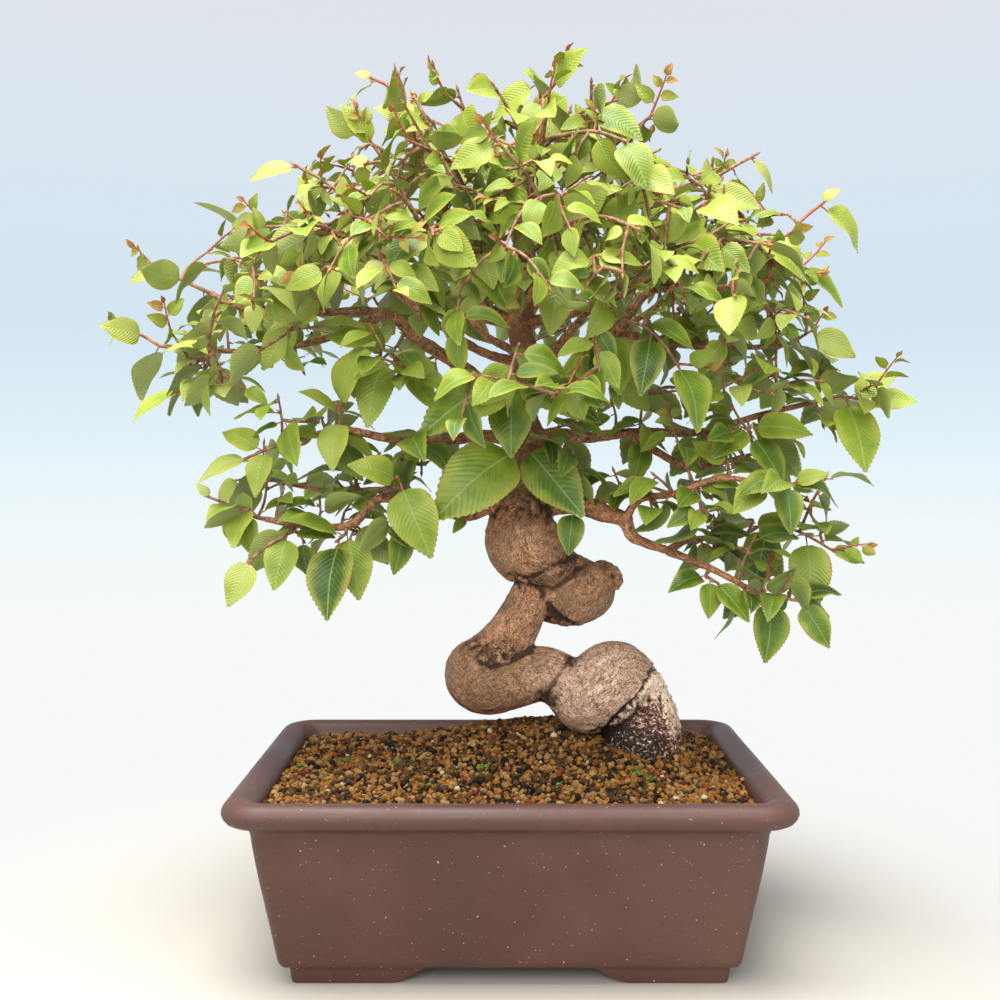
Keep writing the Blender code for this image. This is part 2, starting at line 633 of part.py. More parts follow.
def leaf_between(root, tip, rng, facing):
    """A leaf from its root to its tip, turned to face about this way."""
    return {
        "root": Vector(root),
        "tip": Vector(tip),
        "normal": (Vector(facing).normalized() + stray_vector(rng) * LEAF_SWAY).normalized(),
        "width": rng.uniform(*LEAF_WIDTH),
        "arch": rng.uniform(0.02, 0.07),
        "fold": rng.uniform(0.05, 0.32),
    }


def twig_place(path, share):
    """The place at a share of a twig's length, short of its very end, and the twig's direction there."""
    length = sum(math.dist(a[:3], b[:3]) for a, b in zip(path, path[1:]))
    place = min(share, 1 - ROOT_DEPTH / length) * (len(path) - 1)
    i = min(int(place), len(path) - 2)
    here, there = Vector(path[i][:3]), Vector(path[i + 1][:3])
    return here.lerp(there, place - i), (there - here).normalized()


def rule_leaf(path, share, side, rng):
    """A leaf off a twig at a share of its length, to either side or off its end, hanging down and out."""
    here, along = twig_place(path, share)
    across = along.cross(Vector((0, 0, 1)))
    across = across.normalized() if across.length > 0.2 else Vector((1, 0, 0))
    turn = math.radians(rng.uniform(45, 72) if side else rng.uniform(-14, 14))
    way = along * math.cos(turn) + across * math.sin(turn) * (side or 1)
    droop = rng.uniform(-0.3, 0.3) if rng.random() < LEVEL_SHARE else rng.uniform(0.5, 1.5)
    way = (way - Vector((0, 0, droop))).normalized()
    high = min(1.0, max(0.0, (here.z - 240) / 120))
    length = rng.uniform(*LEAF_LENGTH) * (1.0 - 0.15 * share - TOP_LEAF * high)
    bearing = math.atan2(here.y, here.x) + rng.uniform(-FACING_SPREAD, FACING_SPREAD)
    tip = here + way * length
    tip.z = min(tip.z, TREE_TOP)
    return leaf_between(here, tip, rng, (math.cos(bearing), math.sin(bearing), 0.4))


class Grove:
    """All solids placed so far, against which each new twig or leaf is tried."""

    def __init__(self):
        self.held = []

    def clashes(self, points, faces, node, own=()):
        """True where this solid meets one of another node, or one of these kinds of its own."""
        low = [min(p[a] for p in points) for a in range(3)]
        high = [max(p[a] for p in points) for a in range(3)]
        tree = None
        for name, other, other_low, other_high, kind in self.held:
            if kind not in (own if name == node else ("trunk", "twig", "leaf")):
                continue
            if any(high[a] < other_low[a] or low[a] > other_high[a] for a in range(3)):
                continue
            tree = tree or BVHTree.FromPolygons(points, faces)
            if tree.overlap(other):
                return True
        return False

    def takes(self, leaf, node):
        """Holds a leaf if it meets no other solid, save its own twig near its root."""
        blade = dict(leaf, root=leaf["root"].lerp(leaf["tip"], ROOT_SHARE))
        if self.clashes(*leaf_solid(leaf, LEAF_THICK + 2 * LEAF_ROOM, LEAF_GROW), node, ("leaf",)):
            return False
        if self.clashes(*leaf_solid(blade, LEAF_THICK), node, ("twig",)):
            return False
        self.hold(*leaf_solid(leaf, LEAF_THICK), node, "leaf")
        return True

    def hold(self, points, faces, node, kind):
        low = [min(p[a] for p in points) for a in range(3)]
        high = [max(p[a] for p in points) for a in range(3)]
        self.held.append((node, BVHTree.FromPolygons(points, faces), low, high, kind))


def twig_path(places):
    """A twig's path with its radius."""
    return with_radius(curve_through(places, TWIG_STEP), TWIG_ROOT, TWIG_TIP)


def widened(path):
    """The solid of a path with the gap that others keep from it."""
    return tube([(*p[:3], p[3] + GAP) for p in path], TWIG_SIDES)


def dome_twig(limbs, ring, k, grove):
    """The path of a dome spray's twig, from its limb out to the dome's surface by a way that is clear."""
    out, count, bearing, reach = DOME_RINGS[ring]
    rng = random.Random(200 + 20 * ring + k)
    tip = Vector(dome_place(bearing + 360 * k / count, out))
    if reach:
        limb = limbs[f"dome_{k}"]
        root = Vector(limb[-1][:3])
    else:
        limb = limbs["leader"]
        goal = tip.z - TWIG_RISE
        root = Vector(min(limb, key=lambda p: abs(p[2] - goal))[:3])
    for attempt in range(TWIG_TRIES):
        stray = [rng.uniform(-1, 1) * (8 + attempt) for _ in range(4)]
        half = root.lerp(tip, 0.55) + Vector((stray[0], stray[1], 5 + 0.5 * stray[2]))
        end = tip + Vector((-stray[1], stray[0], stray[3])) * 0.5
        path = twig_path(seat_twig(limb, [tuple(root.lerp(half, 0.3)), tuple(half), tuple(end)]))
        if not grove.clashes(*widened(path), "new"):
            break
    else:
        print("no clear way for a twig:", ring, k)
    return path


def side_twig(main, goal, name, rng, grove):
    """A side twig's path, from inside its main twig to near the goal by a way that is clear, or nothing."""
    for attempt in range(TWIG_TRIES):
        here, along = twig_place(main, rng.uniform(0.3, 0.8))
        end = goal + stray_vector(rng) * (2 + 0.4 * attempt)
        out = end - here
        if not SIDE_REACH[0] < out.length < SIDE_REACH[1] or out.normalized().dot(along) > 0.86:
            continue
        half = here + out * 0.5 + Vector((0, 0, 0.1 * out.length)) + stray_vector(rng) * 0.08 * out.length
        path = twig_path([tuple(here), tuple(half), tuple(end)])
        path[0] = (*path[0][:3], SIDE_ROOT)
        free = [(*p[:3], p[3] + GAP) for p in curve_through(path, 4.0)][1:]
        if not grove.clashes(*tube(free, TWIG_SIDES), name, ("twig", "leaf")):
            grove.hold(*tube(free, TWIG_SIDES), name, "twig")
            return path
    return None


def grow_sprays(limbs, trunk):
    """Every spray as its twigs' paths and its leaves, none of which meets another spray or the trunk."""
    grove = Grove()
    trunk_points = [v.co / MM for v in trunk.data.vertices]
    grove.hold(trunk_points, [tuple(p.vertices) for p in trunk.data.polygons], "trunk", "trunk")
    sprays, counts = {}, {}
    for name, (limb, places, _, more) in SPRAYS.items():
        path = twig_path(seat_twig(limbs[limb], [seen(*place) for place in places]))
        if grove.clashes(*widened(path), name):
            print("twig in the way:", name)
        grove.hold(*widened(path), name, "twig")
        sprays[name], counts[name] = ([path], []), [more]
    for ring, (_, around, _, _) in enumerate(DOME_RINGS):
        for k in range(around):
            name = f"spray_dome_{ring + 1}_{k + 1}"
            path = dome_twig(limbs, ring, k, grove)
            grove.hold(*widened(path), name, "twig")
            sprays[name], counts[name] = ([path], []), [DOME_LEAVES[ring]]
    for ring, (out, around, bearing, _) in enumerate(DOME_RINGS):
        for k in range(around):
            name = f"spray_dome_{ring + 1}_{k + 1}"
            rng = random.Random(name + " side")
            for turn, reach in DOME_SIDES[ring]:
                goal = Vector(dome_place(bearing + 360 * k / around + turn, reach))
                path = side_twig(sprays[name][0][0], goal, name, rng, grove)
                if path:
                    sprays[name][0].append(path)
                    counts[name].append(SIDE_LEAVES)
    for name, (_, _, drawn, _) in SPRAYS.items():
        rng = random.Random(name)
        (twig,), leaves = sprays[name]
        for leaf_ends in drawn:
            root, tip = Vector(seen(*leaf_ends[:3])), Vector(seen(*leaf_ends[3:]))
            places = [twig_place(twig, 0.25 + 0.75 * k / 30)[0] for k in range(31)]
            places.sort(key=lambda p: (p - root).length)
            for attempt in range(LEAF_TRIES):
                end = tip + stray_vector(rng) * attempt * 0.3
                leaf = leaf_between(places[attempt // 2], end, rng, DRAWN_FACING)
                if grove.takes(leaf, name):
                    leaves.append(leaf)
                    break
            else:
                print("no room for a drawn leaf:", name, leaf_ends)
    for name, (twigs, leaves) in sprays.items():
        rng = random.Random(name + " by rule")
        for path, count in zip(twigs, counts[name]):
            for i in range(count):
                share = FIRST_LEAF + (1 - FIRST_LEAF) * i / max(count - 1, 1)
                side = 0 if i == count - 1 else (-1) ** i
                for _ in range(LEAF_TRIES):
                    leaf = rule_leaf(path, share - rng.uniform(0, 0.08), side, rng)
                    if grove.takes(leaf, name):
                        leaves.append(leaf)
                        break
    return sprays


def build_spray(name, twigs, leaves):
    spray = mesh_object(name, *tube(twigs[0], TWIG_SIDES))
    pieces = [mesh_object("side", *tube(path, TWIG_SIDES)) for path in twigs[1:]]
    pieces += [mesh_object("leaf", *leaf_solid(leaf, LEAF_THICK)) for leaf in leaves]
    combine(spray, pieces, "UNION")
    paint(spray, name, LEAF_GREEN, 0.6)


def centre_everything():
    """Moves the whole so that the middle of its box is over the origin."""
    meshes = [obj.data for obj in bpy.context.scene.collection.objects]
    places = [v.co for mesh in meshes for v in mesh.vertices]
    middle = [(min(p[a] for p in places) + max(p[a] for p in places)) / 2 for a in (0, 1)]
    for mesh in meshes:
        mesh.transform(Matrix.Translation((-middle[0], -middle[1], 0.0)))


def main():
    for obj in list(bpy.data.objects):
        bpy.data.objects.remove(obj)
    build_pot()
    build_screen("drain_screen_left", -DRAIN_X)
    build_screen("drain_screen_right", DRAIN_X)
    build_soil()
    limbs = all_limbs()
    trunk = build_trunk(limbs)
    sprays = grow_sprays(limbs, trunk)
    print("leaves", sum(len(leaves) for _, leaves in sprays.values()))
    for name, (twigs, leaves) in sprays.items():
        build_spray(name, twigs, leaves)
    centre_everything()


if __name__ == "__main__":
    main()
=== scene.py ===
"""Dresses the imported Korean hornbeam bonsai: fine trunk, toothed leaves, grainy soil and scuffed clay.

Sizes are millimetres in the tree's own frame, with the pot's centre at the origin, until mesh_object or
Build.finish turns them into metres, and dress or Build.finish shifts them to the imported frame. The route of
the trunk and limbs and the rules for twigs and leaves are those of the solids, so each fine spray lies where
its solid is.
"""

import math
import random

import bmesh
import bpy
import numpy as np
from mathutils import Matrix, Vector, noise
from mathutils.bvhtree import BVHTree
from mathutils.kdtree import KDTree


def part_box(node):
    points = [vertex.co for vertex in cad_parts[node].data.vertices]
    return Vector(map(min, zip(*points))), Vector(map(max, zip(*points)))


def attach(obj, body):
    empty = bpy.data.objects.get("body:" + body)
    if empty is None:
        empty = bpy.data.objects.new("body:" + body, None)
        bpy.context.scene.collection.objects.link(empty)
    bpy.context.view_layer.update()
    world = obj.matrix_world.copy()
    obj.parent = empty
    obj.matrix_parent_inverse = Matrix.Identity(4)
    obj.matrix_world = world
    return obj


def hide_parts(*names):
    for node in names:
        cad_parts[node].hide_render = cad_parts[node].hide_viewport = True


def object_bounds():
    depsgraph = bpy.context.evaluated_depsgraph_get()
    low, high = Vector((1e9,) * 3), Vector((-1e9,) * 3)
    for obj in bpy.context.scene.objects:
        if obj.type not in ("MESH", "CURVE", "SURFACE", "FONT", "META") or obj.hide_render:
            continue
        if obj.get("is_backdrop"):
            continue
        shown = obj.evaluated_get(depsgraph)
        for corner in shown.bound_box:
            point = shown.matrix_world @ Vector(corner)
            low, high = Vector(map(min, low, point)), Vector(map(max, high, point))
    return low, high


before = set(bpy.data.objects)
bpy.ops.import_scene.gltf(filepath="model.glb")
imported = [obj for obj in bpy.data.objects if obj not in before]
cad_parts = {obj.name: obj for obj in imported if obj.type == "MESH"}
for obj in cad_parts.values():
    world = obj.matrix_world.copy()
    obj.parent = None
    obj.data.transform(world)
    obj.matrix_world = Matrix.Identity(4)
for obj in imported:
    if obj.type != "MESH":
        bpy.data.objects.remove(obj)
cad_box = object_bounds()

MM = 0.001
POT_LOW, POT_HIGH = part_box("pot")
SHIFT = Vector(((POT_LOW.x + POT_HIGH.x) / 2, (POT_LOW.y + POT_HIGH.y) / 2, 0.0))

GAP = 0.3

# The pot: sizes at the widest line of its lip, which is HALF_LONG by HALF_WIDE from the middle.
HALF_LONG = 114.0
HALF_WIDE = 85.5
LIP_CORNER = 15.0
FLOOR_TOP = 14.0
# Each line of the pot's section: how far in from the lip's widest line, and how high.
OUTSIDE = (
    (30.0, 8.0), (21.4, 8.0), (20.4, 9.6), (17.2, 26.0), (13.6, 44.0), (11.2, 58.0), (10.4, 63.6),
    (8.8, 66.4), (5.2, 67.8), (1.8, 69.4), (0.0, 72.8), (0.8, 76.0), (3.2, 78.0), (6.0, 78.5),
)
INSIDE = ((9.4, 77.5), (11.8, 75.3), (13.2, 72.0), (15.4, 62.0), (22.6, 22.0), (26.0, 15.2), (32.0, 14.0))
FOOT_RING = ((25.4, 0.0), (24.9, 3.0), (24.5, 6.0), (24.2, 8.6), (24.2, 11.0))
FOOT_THICK = 10.0
ARCH_TOP = 7.2
ARCH_STEPS = 18
FRONT_ARCH = (49.0, 30.0)
SIDE_ARCH = (26.0, 13.0)
DRAIN_X = 45.0
DRAIN_RADIUS = 7.5
SCREEN_SIDE = 24.0
SCREEN_THICK = 1.0

# The soil: level near the walls, and a mound round the foot of the tree.
SOIL_EDGE = ((32.4, 14.35), (26.5, 15.6), (23.0, 22.2), (15.8, 62.0), (14.2, 70.6))
SOIL_LEVEL = 72.0
MOUND_X, MOUND_Y = 22.0, 16.0
MOUND_HIGH = 18.0
MOUND_LONG, MOUND_WIDE = 76.0, 56.0
MOUND_REACH = (99.0, 71.0)
MOUND_POWER = 6
# The soil's bed: how far it lies under the grains' ground, its rings and the points of each.
BED_UNDER = 0.5
BED_RINGS, BED_SIDES = 26, 96

# The photo's eye point and scale, from which places in it become places on the tree at a chosen depth.
EYE = (-4.0, -572.0, 212.5)
FOCAL = 1281.0
MIDDLE_U, HORIZON_V = 500.0, 458.0

# The thick snaking trunk: u, v in the photo, depth y, radius.
STUMP = (58.0, 0.0)
STUMP_RADIUS = 17.6
STUMP_BOTTOM, STUMP_TOP = 50.0, 83.5
STUMP_SIDES = 16
SNAKE = (
    (642, 739, 0, 18.0), (644, 722, 2, 15.8), (642, 704, 3, 13.6), (634, 690, 2, 13.6),
    (617, 677, -3, 15.6), (603, 688, -5, 17.6), (586, 700, -4, 15.2), (569, 687, -3, 12.6),
    (545, 675, -1, 12.2), (514, 679, 0, 13.6), (487, 682, 0, 15.0), (477, 674, 0, 14.8),
    (487, 661, 0, 12.4), (507, 641, 1, 11.3), (520, 619, 2, 10.4), (528, 600, 4, 9.0),
    (534, 588, 6, 9.4), (552, 596, 10, 12.4), (574, 594, 11, 14.6), (588, 590, 10, 12.6),
    (574, 582, 13, 12.4), (556, 571, 10, 12.0), (540, 556, 3, 14.4), (524, 544, 0, 17.2),
    (520, 526, 0, 14.4), (524, 508, 0, 13.0),
)
KNOBS = ((487, 660, -4, 8.0), (601, 579, 5, 8.6), (660, 728, 3, 8.5))
CORE_TRIANGLES = 740
CORE_VOXEL = 1.6

# The leader above it, of the same kind, then the limbs seen: name, radii at both ends, places in the photo.
LEADER = (
    (523, 522, 0, 12.4), (527, 493, 0, 11.2), (524, 470, 0, 9.0), (527, 440, 0, 8.2), (517, 405, 0, 7.3),
    (528, 365, 0, 6.4), (519, 325, 2, 5.6), (529, 285, 0, 4.7), (521, 240, 0, 3.8), (524, 195, 0, 2.9),
    (520, 152, 0, 1.8),
)
LIMBS = {
    "right_low": (6.4, 1.2, ((529, 503, 0), (575, 503, -6), (600, 512, -10), (625, 520, -14), (634, 538, -16),
                             (668, 551, -22), (716, 571, -28), (755, 592, -30))),
    "right_low_upper": (2.0, 1.1, ((625, 520, -14), (640, 499, -22), (673, 494, -30), (716, 479, -34),
                                   (755, 481, -36))),
    "right_low_back": (2.0, 1.1, ((668, 551, -22), (690, 540, -8), (735, 537, 2))),
    "right_mid": (4.4, 1.2, ((524, 441, 0), (560, 435, 4), (582, 438, 6), (640, 432, 10), (700, 432, 14),
                             (760, 415, 14), (815, 402, 10))),
    "right_mid_front": (2.0, 1.1, ((629, 434, 9), (681, 465, 0), (712, 465, -6), (745, 456, -10))),
    "left_low": (5.2, 1.2, ((522, 495, 0), (497, 501, -5), (465, 514, -10), (420, 503, -16), (379, 499, -20),
                            (350, 525, -22), (305, 526, -24), (265, 519, -24))),
    "left_low_back": (2.0, 1.1, ((420, 503, -16), (385, 490, 4), (335, 492, 22), (290, 484, 36))),
    "left_mid": (3.8, 1.2, ((524, 441, 0), (480, 436, -7), (429, 443, -14), (385, 438, -22), (340, 430, -26),
                            (290, 442, -28))),
    "up_left": (4.8, 1.2, ((521, 395, 0), (483, 383, -7), (460, 366, -10), (414, 337, -16), (386, 314, -20),
                           (320, 313, -20), (254, 312, -16), (212, 294, -12))),
    "left_edge": (2.2, 1.1, ((386, 314, -20), (330, 338, -2), (260, 352, 10), (200, 350, 14),
                             (168, 347, 14))),
    "up_right": (4.8, 1.2, ((521, 390, 0), (575, 375, -7), (615, 332, -14), (650, 292, -20), (700, 290, -24),
                            (755, 286, -26))),
    "right_edge": (2.2, 1.1, ((615, 332, -14), (680, 345, 0), (735, 348, 8), (778, 346, 10))),
    "top_left": (2.8, 1.2, ((527, 290, 0), (480, 248, -12), (440, 205, -20), (418, 150, -22))),
    "top_right": (2.6, 1.2, ((526, 270, 0), (585, 232, -8), (645, 200, -12), (700, 185, -14))),
}
LEADER_SIDES, LIMB_SIDES, THIN_SIDES = 8, 6, 4
THIN_LIMB = 3.1
LIMB_TAPER = 1.5
LIMB_STEP = 22.0

# Sprays seen in the photo: limb, twig by places in it, leaves by root and tip, and how many more by rule.
SPRAYS = {
    "spray_front_upper": ("leader", ((514, 382, -14), (513, 380, -27)),
                          ((512, 380, -27, 422, 433, -44), (513, 380, -26, 603, 422, -40),
                           (513, 382, -24, 507, 452, -38)), 0),
    "spray_front_lower": ("leader", ((523, 441, -14), (522, 447, -24)),
                          ((522, 446, -24, 432, 519, -36), (522, 444, -20, 579, 512, -30)), 0),
    "spray_front_left": ("leader", ((508, 258, -20), (480, 254, -36), (462, 252, -42)),
                         ((463, 252, -42, 514, 313, -56), (461, 252, -42, 440, 297, -56)), 3),
    "spray_front_right": ("leader", ((536, 264, -18), (556, 270, -34), (578, 276, -42)),
                          ((545, 268, -28, 543, 346, -46), (572, 275, -40, 616, 309, -50),
                           (578, 276, -42, 622, 258, -50)), 2),
    "spray_right_centre": ("up_right", ((597, 348, -26), (606, 328, -34), (630, 322, -50), (656, 336, -54),
                                        (676, 364, -54)),
                           ((606, 328, -34, 622, 395, -44), (650, 334, -54, 640, 394, -62),
                            (676, 364, -54, 702, 430, -62)), 2),
    "spray_left_pad_tip": ("left_low", ((243, 512, -24), (224, 503, -24), (208, 497, -23)),
                           ((246, 513, -24, 252, 556, -30), (232, 506, -24, 238, 548, -16),
                            (208, 497, -23, 197, 482, -22)), 0),
    "spray_left_pad_outer": ("left_low", ((290, 532, -30), (268, 545, -36), (250, 560, -38)),
                             ((287, 533, -31, 272, 590, -42), (252, 558, -38, 225, 606, -44)), 2),
    "spray_left_pad_middle": ("left_low", ((346, 533, -29), (338, 540, -36)),
                              ((346, 532, -28, 358, 600, -38), (339, 539, -36, 324, 620, -50),
                               (344, 536, -32, 284, 518, -46)), 0),
    "spray_left_pad_inner": ("left_low", ((402, 488, -26), (398, 478, -34)),
                             ((399, 480, -32, 431, 558, -38), (398, 478, -34, 350, 462, -44)), 1),
    "spray_left_skirt": ("left_mid", ((270, 448, -30), (247, 458, -32)),
                         ((247, 458, -32, 198, 481, -36), (268, 449, -30, 254, 496, -38),
                          (262, 452, -31, 222, 430, -26)), 2),
    "spray_left_inner": ("left_mid", ((343, 421, -30), (338, 408, -34)),
                         ((338, 408, -34, 370, 340, -44), (340, 414, -32, 300, 392, -44),
                          (342, 418, -31, 330, 470, -40)), 0),
    "spray_left_upper": ("up_left", ((398, 346, -26), (384, 358, -34)),
                         ((384, 358, -34, 364, 426, -42), (390, 353, -31, 429, 415, -40),
                          (386, 356, -33, 334, 345, -42)), 0),
    "spray_right_pad_tip": ("right_low", ((775, 597, -30), (803, 602, -30)),
                            ((770, 596, -30, 767, 664, -36), (803, 602, -30, 833, 648, -34),
                             (800, 601, -30, 848, 592, -24)), 0),
    "spray_right_pad_inner": ("right_low", ((706, 576, -34), (716, 582, -38)),
                              ((709, 578, -36, 711, 619, -40), (716, 582, -38, 751, 622, -44),
                               (706, 575, -34, 668, 590, -42)), 0),
    "spray_right_pad_back": ("right_low_back", ((768, 524, -2), (800, 532, -6), (832, 550, -6)),
                             ((768, 524, -2, 752, 592, -12), (806, 534, -6, 815, 610, -14),
                              (832, 550, -6, 866, 562, -6)), 1),
    "spray_right_pad_upper": ("right_low_upper", ((774, 482, -36), (796, 484, -36)),
                              ((796, 484, -36, 829, 473, -38), (784, 483, -36, 793, 534, -44),
                               (766, 482, -36, 726, 518, -44)), 1),
    "spray_right_middle": ("right_mid_front", ((752, 443, -14), (748, 424, -18)),
                           ((750, 434, -16, 784, 484, -24), (748, 424, -18, 711, 458, -28),
                            (748, 424, -18, 811, 432, -24)), 0),
    "spray_right_skirt": ("right_mid", ((840, 396, 8), (866, 402, 6)),
                          ((866, 402, 6, 917, 402, 2), (848, 397, 8, 897, 374, 2),
                           (856, 400, 7, 878, 467, -4)), 2),
    "spray_left_tip": ("up_left", ((183, 281, -12), (158, 271, -12)), ((158, 271, -12, 131, 283, -12),), 3),
    "spray_left_edge": ("left_edge", ((144, 336, 14), (126, 332, 14)), ((126, 332, 14, 109, 345, 14),), 3),
    "spray_left_shade": ("left_edge", ((205, 372, 6), (182, 392, 2)), (), 3),
    "spray_left_shoulder": ("up_left", ((292, 330, -30), (262, 350, -38)), (), 3),
    "spray_left_top": ("up_left", ((322, 286, -26), (300, 262, -30), (280, 240, -30)), (), 3),
    "spray_right_tip": ("up_right", ((776, 262, -26), (796, 226, -24), (822, 204, -22)),
                        ((822, 204, -22, 838, 190, -22),), 3),
    "spray_right_edge": ("right_edge", ((796, 340, 10), (812, 330, 8)), (), 3),
    "spray_right_shade": ("right_mid", ((762, 440, 22), (772, 462, 28)), (), 3),
    "spray_top_left": ("top_left", ((410, 118, -22), (392, 92, -20), (372, 82, -18)),
                       ((372, 82, -18, 356, 76, -17),), 4),
    "spray_top_right": ("top_right", ((730, 170, -14), (752, 158, -12)), (), 3),
    "spray_left_low_back": ("left_low_back", ((262, 478, 44), (238, 480, 50)), (), 3),
    "spray_peak": ("leader", ((532, 124, -2), (540, 100, -3), (536, 84, -3)),
                   ((536, 84, -3, 522, 72, -4),), 4),
}

# The rest of the dome by rule: how far out, how many sprays, the first one's bearing and its limb's reach.
DOME_LONG, DOME_WIDE = 143.0, 110.0
DOME_TOP, DOME_FALL, DOME_POWER = 376.0, 94.0, 2.2
DOME_RINGS = ((0.22, 4, 210.0, 0.0), (0.50, 7, 22.0, 0.0), (0.85, 11, 16.0, 0.58))
DOME_LEAVES = (3, 3, 3)
DOME_LIMB = (3.0, 1.2)
DOME_RIGHT = 0.95
# Side twigs of each ring's sprays, by how far round and how far out they end.
DOME_SIDES = (((26, 0.36),), ((17, 0.66), (-20, 0.36)), ((11.5, 0.93), (-12, 0.68)))
SIDE_REACH = (13.0, 52.0)
SIDE_LEAVES = 3
SIDE_ROOT = 0.5
TWIG_SIDES = 3
TWIG_STEP = 24.0
TWIG_ROOT, TWIG_TIP = 1.0, 0.62
TWIG_RISE = 48.0
SEAT_GAP = 0.36
SEAT_RUN = 3.0

# A leaf's edge: shares of its length along the midrib, and of its half width out from it.
LEAF_EDGE = ((0.20, 0.88), (0.56, 0.92))
LEAF_THICK = 0.7
LEAF_LENGTH = (26.0, 37.0)
LEAF_WIDTH = (0.52, 0.62)
LEAF_TRIES = 40
TWIG_TRIES = 40
LEVEL_SHARE = 0.25
TOP_LEAF = 0.16
TREE_TOP = 384.0
ROOT_DEPTH = 0.9
LEAF_ROOM = 0.35
LEAF_GROW = 1.05
ROOT_SHARE = 0.14
FIRST_LEAF = 0.36
LEAF_SWAY = 0.28
FACING_SPREAD = 1.5
DRAWN_FACING = (0.0, -0.8, 0.75)

# A fine blade: rows along the midrib, columns between it and the edge, its outline and its teeth, as shares.
BLADE_GRIDS = {"fine": (17, (0.45, 0.84)), "plain": (12, (0.58,)), "deep": (8, (0.6,)), "young": (5, (0.6,))}
DEEP = 24.0
BLADE_START = 0.14
BLADE_SHARE = 0.95
BLADE_THICK = 0.24
BLADE_OUTLINE = (
    (0.0, 0.24), (0.04, 0.58), (0.10, 0.80), (0.20, 0.95), (0.33, 1.0), (0.46, 0.97), (0.58, 0.85),
    (0.70, 0.66), (0.81, 0.44), (0.91, 0.21), (1.0, 0.015),
)
TOOTH_OUT, TOOTH_AHEAD = 0.013, 0.016
WAVE = (0.005, 0.020)
DROOP = (0.0, 0.10)
SWEEP = 0.035
STALK_RADIUS = (0.48, 0.36)
BUD_LONG, BUD_RADIUS = 3.6, 0.75
FINE_STEP = 4.0
FINE_SIDES = 6

# More leafy shoots between those of the solids: shells of places under the dome, and how far a shoot reaches.
SHELLS = ((150, 17.0, 0.97), (84, 33.0, 0.90), (30, 54.0, 0.74))
FRONT_FILL = 64
# Places in the photo where the crown is thick, each with the depths of the shoots that fill it.
THICK_SPOTS = (
    (225, 385, (-20, 5)), (215, 345, (-35,)), (190, 370, (10,)), (775, 190, (-10, 20)), (770, 330, (-30, 0)),
    (775, 380, (-20, 15)), (725, 385, (-35, 0)), (620, 385, (-30,)), (575, 425, (-25,)), (420, 380, (-45, 0)),
    (825, 480, (-10,)), (820, 530, (-20, 5)), (735, 415, (-20,)), (650, 395, (0,)), (600, 300, (-55,)),
    (330, 430, (-20,)), (780, 440, (10,)), (170, 340, (-10, 12)), (200, 340, (15,)), (240, 390, (-35,)),
    (675, 340, (-20, 10)), (730, 335, (-25, 15)), (345, 385, (-30,)), (360, 530, (-10,)),
    (790, 575, (-40, -15)),
    (670, 430, (-25, 5)), (680, 390, (-15,)), (750, 185, (10,)), (825, 420, (0,)), (300, 365, (0,)),
    (225, 385, (22,)), (675, 385, (12,)), (820, 385, (-15, 15)), (270, 485, (-10, 12)), (325, 535, (0,)),
    (870, 385, (0,)), (675, 335, (30,)), (775, 335, (25,)), (620, 470, (-10,)), (770, 215, (-10, 10)),
    (785, 240, (0,)), (740, 195, (-5,)), (760, 270, (-20,)), (215, 235, (-5,)), (205, 255, (0, 15)),
)
# The crown's outline in the photo, over which no shoot's leaf shows, and the trunk's part that none hides.
CROWN_LINE = (
    (110, 330), (140, 262), (185, 232), (225, 208), (265, 178), (300, 162), (350, 152), (400, 136),
    (440, 126),
    (480, 112), (520, 96), (560, 99), (600, 113), (650, 124), (700, 139), (740, 161), (780, 183), (830, 203),
    (850, 330), (910, 370),
)
BARE_TRUNK = (440, 622, 510)
# Leaves seen beside the trunk: where each leaves its limb, its root and its tip, in the photo.
SHOWN_LEAVES = (
    ((577, 504, -8), (574, 509, -16), (567, 555, -20)),
    ((470, 511, -12), (466, 517, -18), (453, 533, -22)),
)
CEILING = 3.0
REACH = (10.0, 62.0)
LOW_LIMBS = (
    "right_low", "right_low_upper", "right_low_back", "right_mid", "right_mid_front", "left_low",
    "left_low_back", "left_mid", "left_edge", "right_edge",
)
LOW_STEP = 19.0
LOW_SPREAD = 18.0
SHOOT_TRIES = 8
LEAF_ATTEMPTS = 22
# A shoot needs so many leaves, and one more for so many millimetres of it.
BARE_COUNT, BARE_RUN = 1.0, 26.0
SHOOT_GIRTH = 0.78
SHOOT_LEAVES = (2, 4)
LEAF_EVERY = 22.0
SHOOT_SCALE = (0.52, 0.82)
TOP_SHRINK = 0.16
LAID_SHARE = 0.72
SHOOT_THICK = 0.4
# The extra shoots come in pieces, by sectors round the tree and below or above this height.
SECTORS, STOREY = 8, 270.0
YOUNG_SHARE, YOUNG_DEPTH = 0.5, 18.0
YOUNG_LONG = (8.0, 13.0)
YOUNG_SHOOT = (6.0, 18.0)
RED_SPRAYS = ("spray_top_left", "spray_peak", "spray_right_tip")
BOX_ROOM = 4.0

# The trunk's fine surface, and places in the photo where its bark has wrinkles: u, v, depth y, reach.
FINE_VOXEL = 0.95
THICK_LIMB = 1.9
WRINKLES = (
    (556, 712, -6, 9.0), (574, 656, -8, 8.0), (490, 656, -12, 10.0), (512, 652, -12, 8.0),
    (534, 576, -6, 10.0),
    (562, 566, -2, 9.0), (556, 614, 2, 9.0), (604, 566, 4, 8.0), (548, 700, -10, 9.0), (540, 500, -10, 10.0),
    (523, 512, -10, 10.0), (470, 640, -6, 8.0),
)
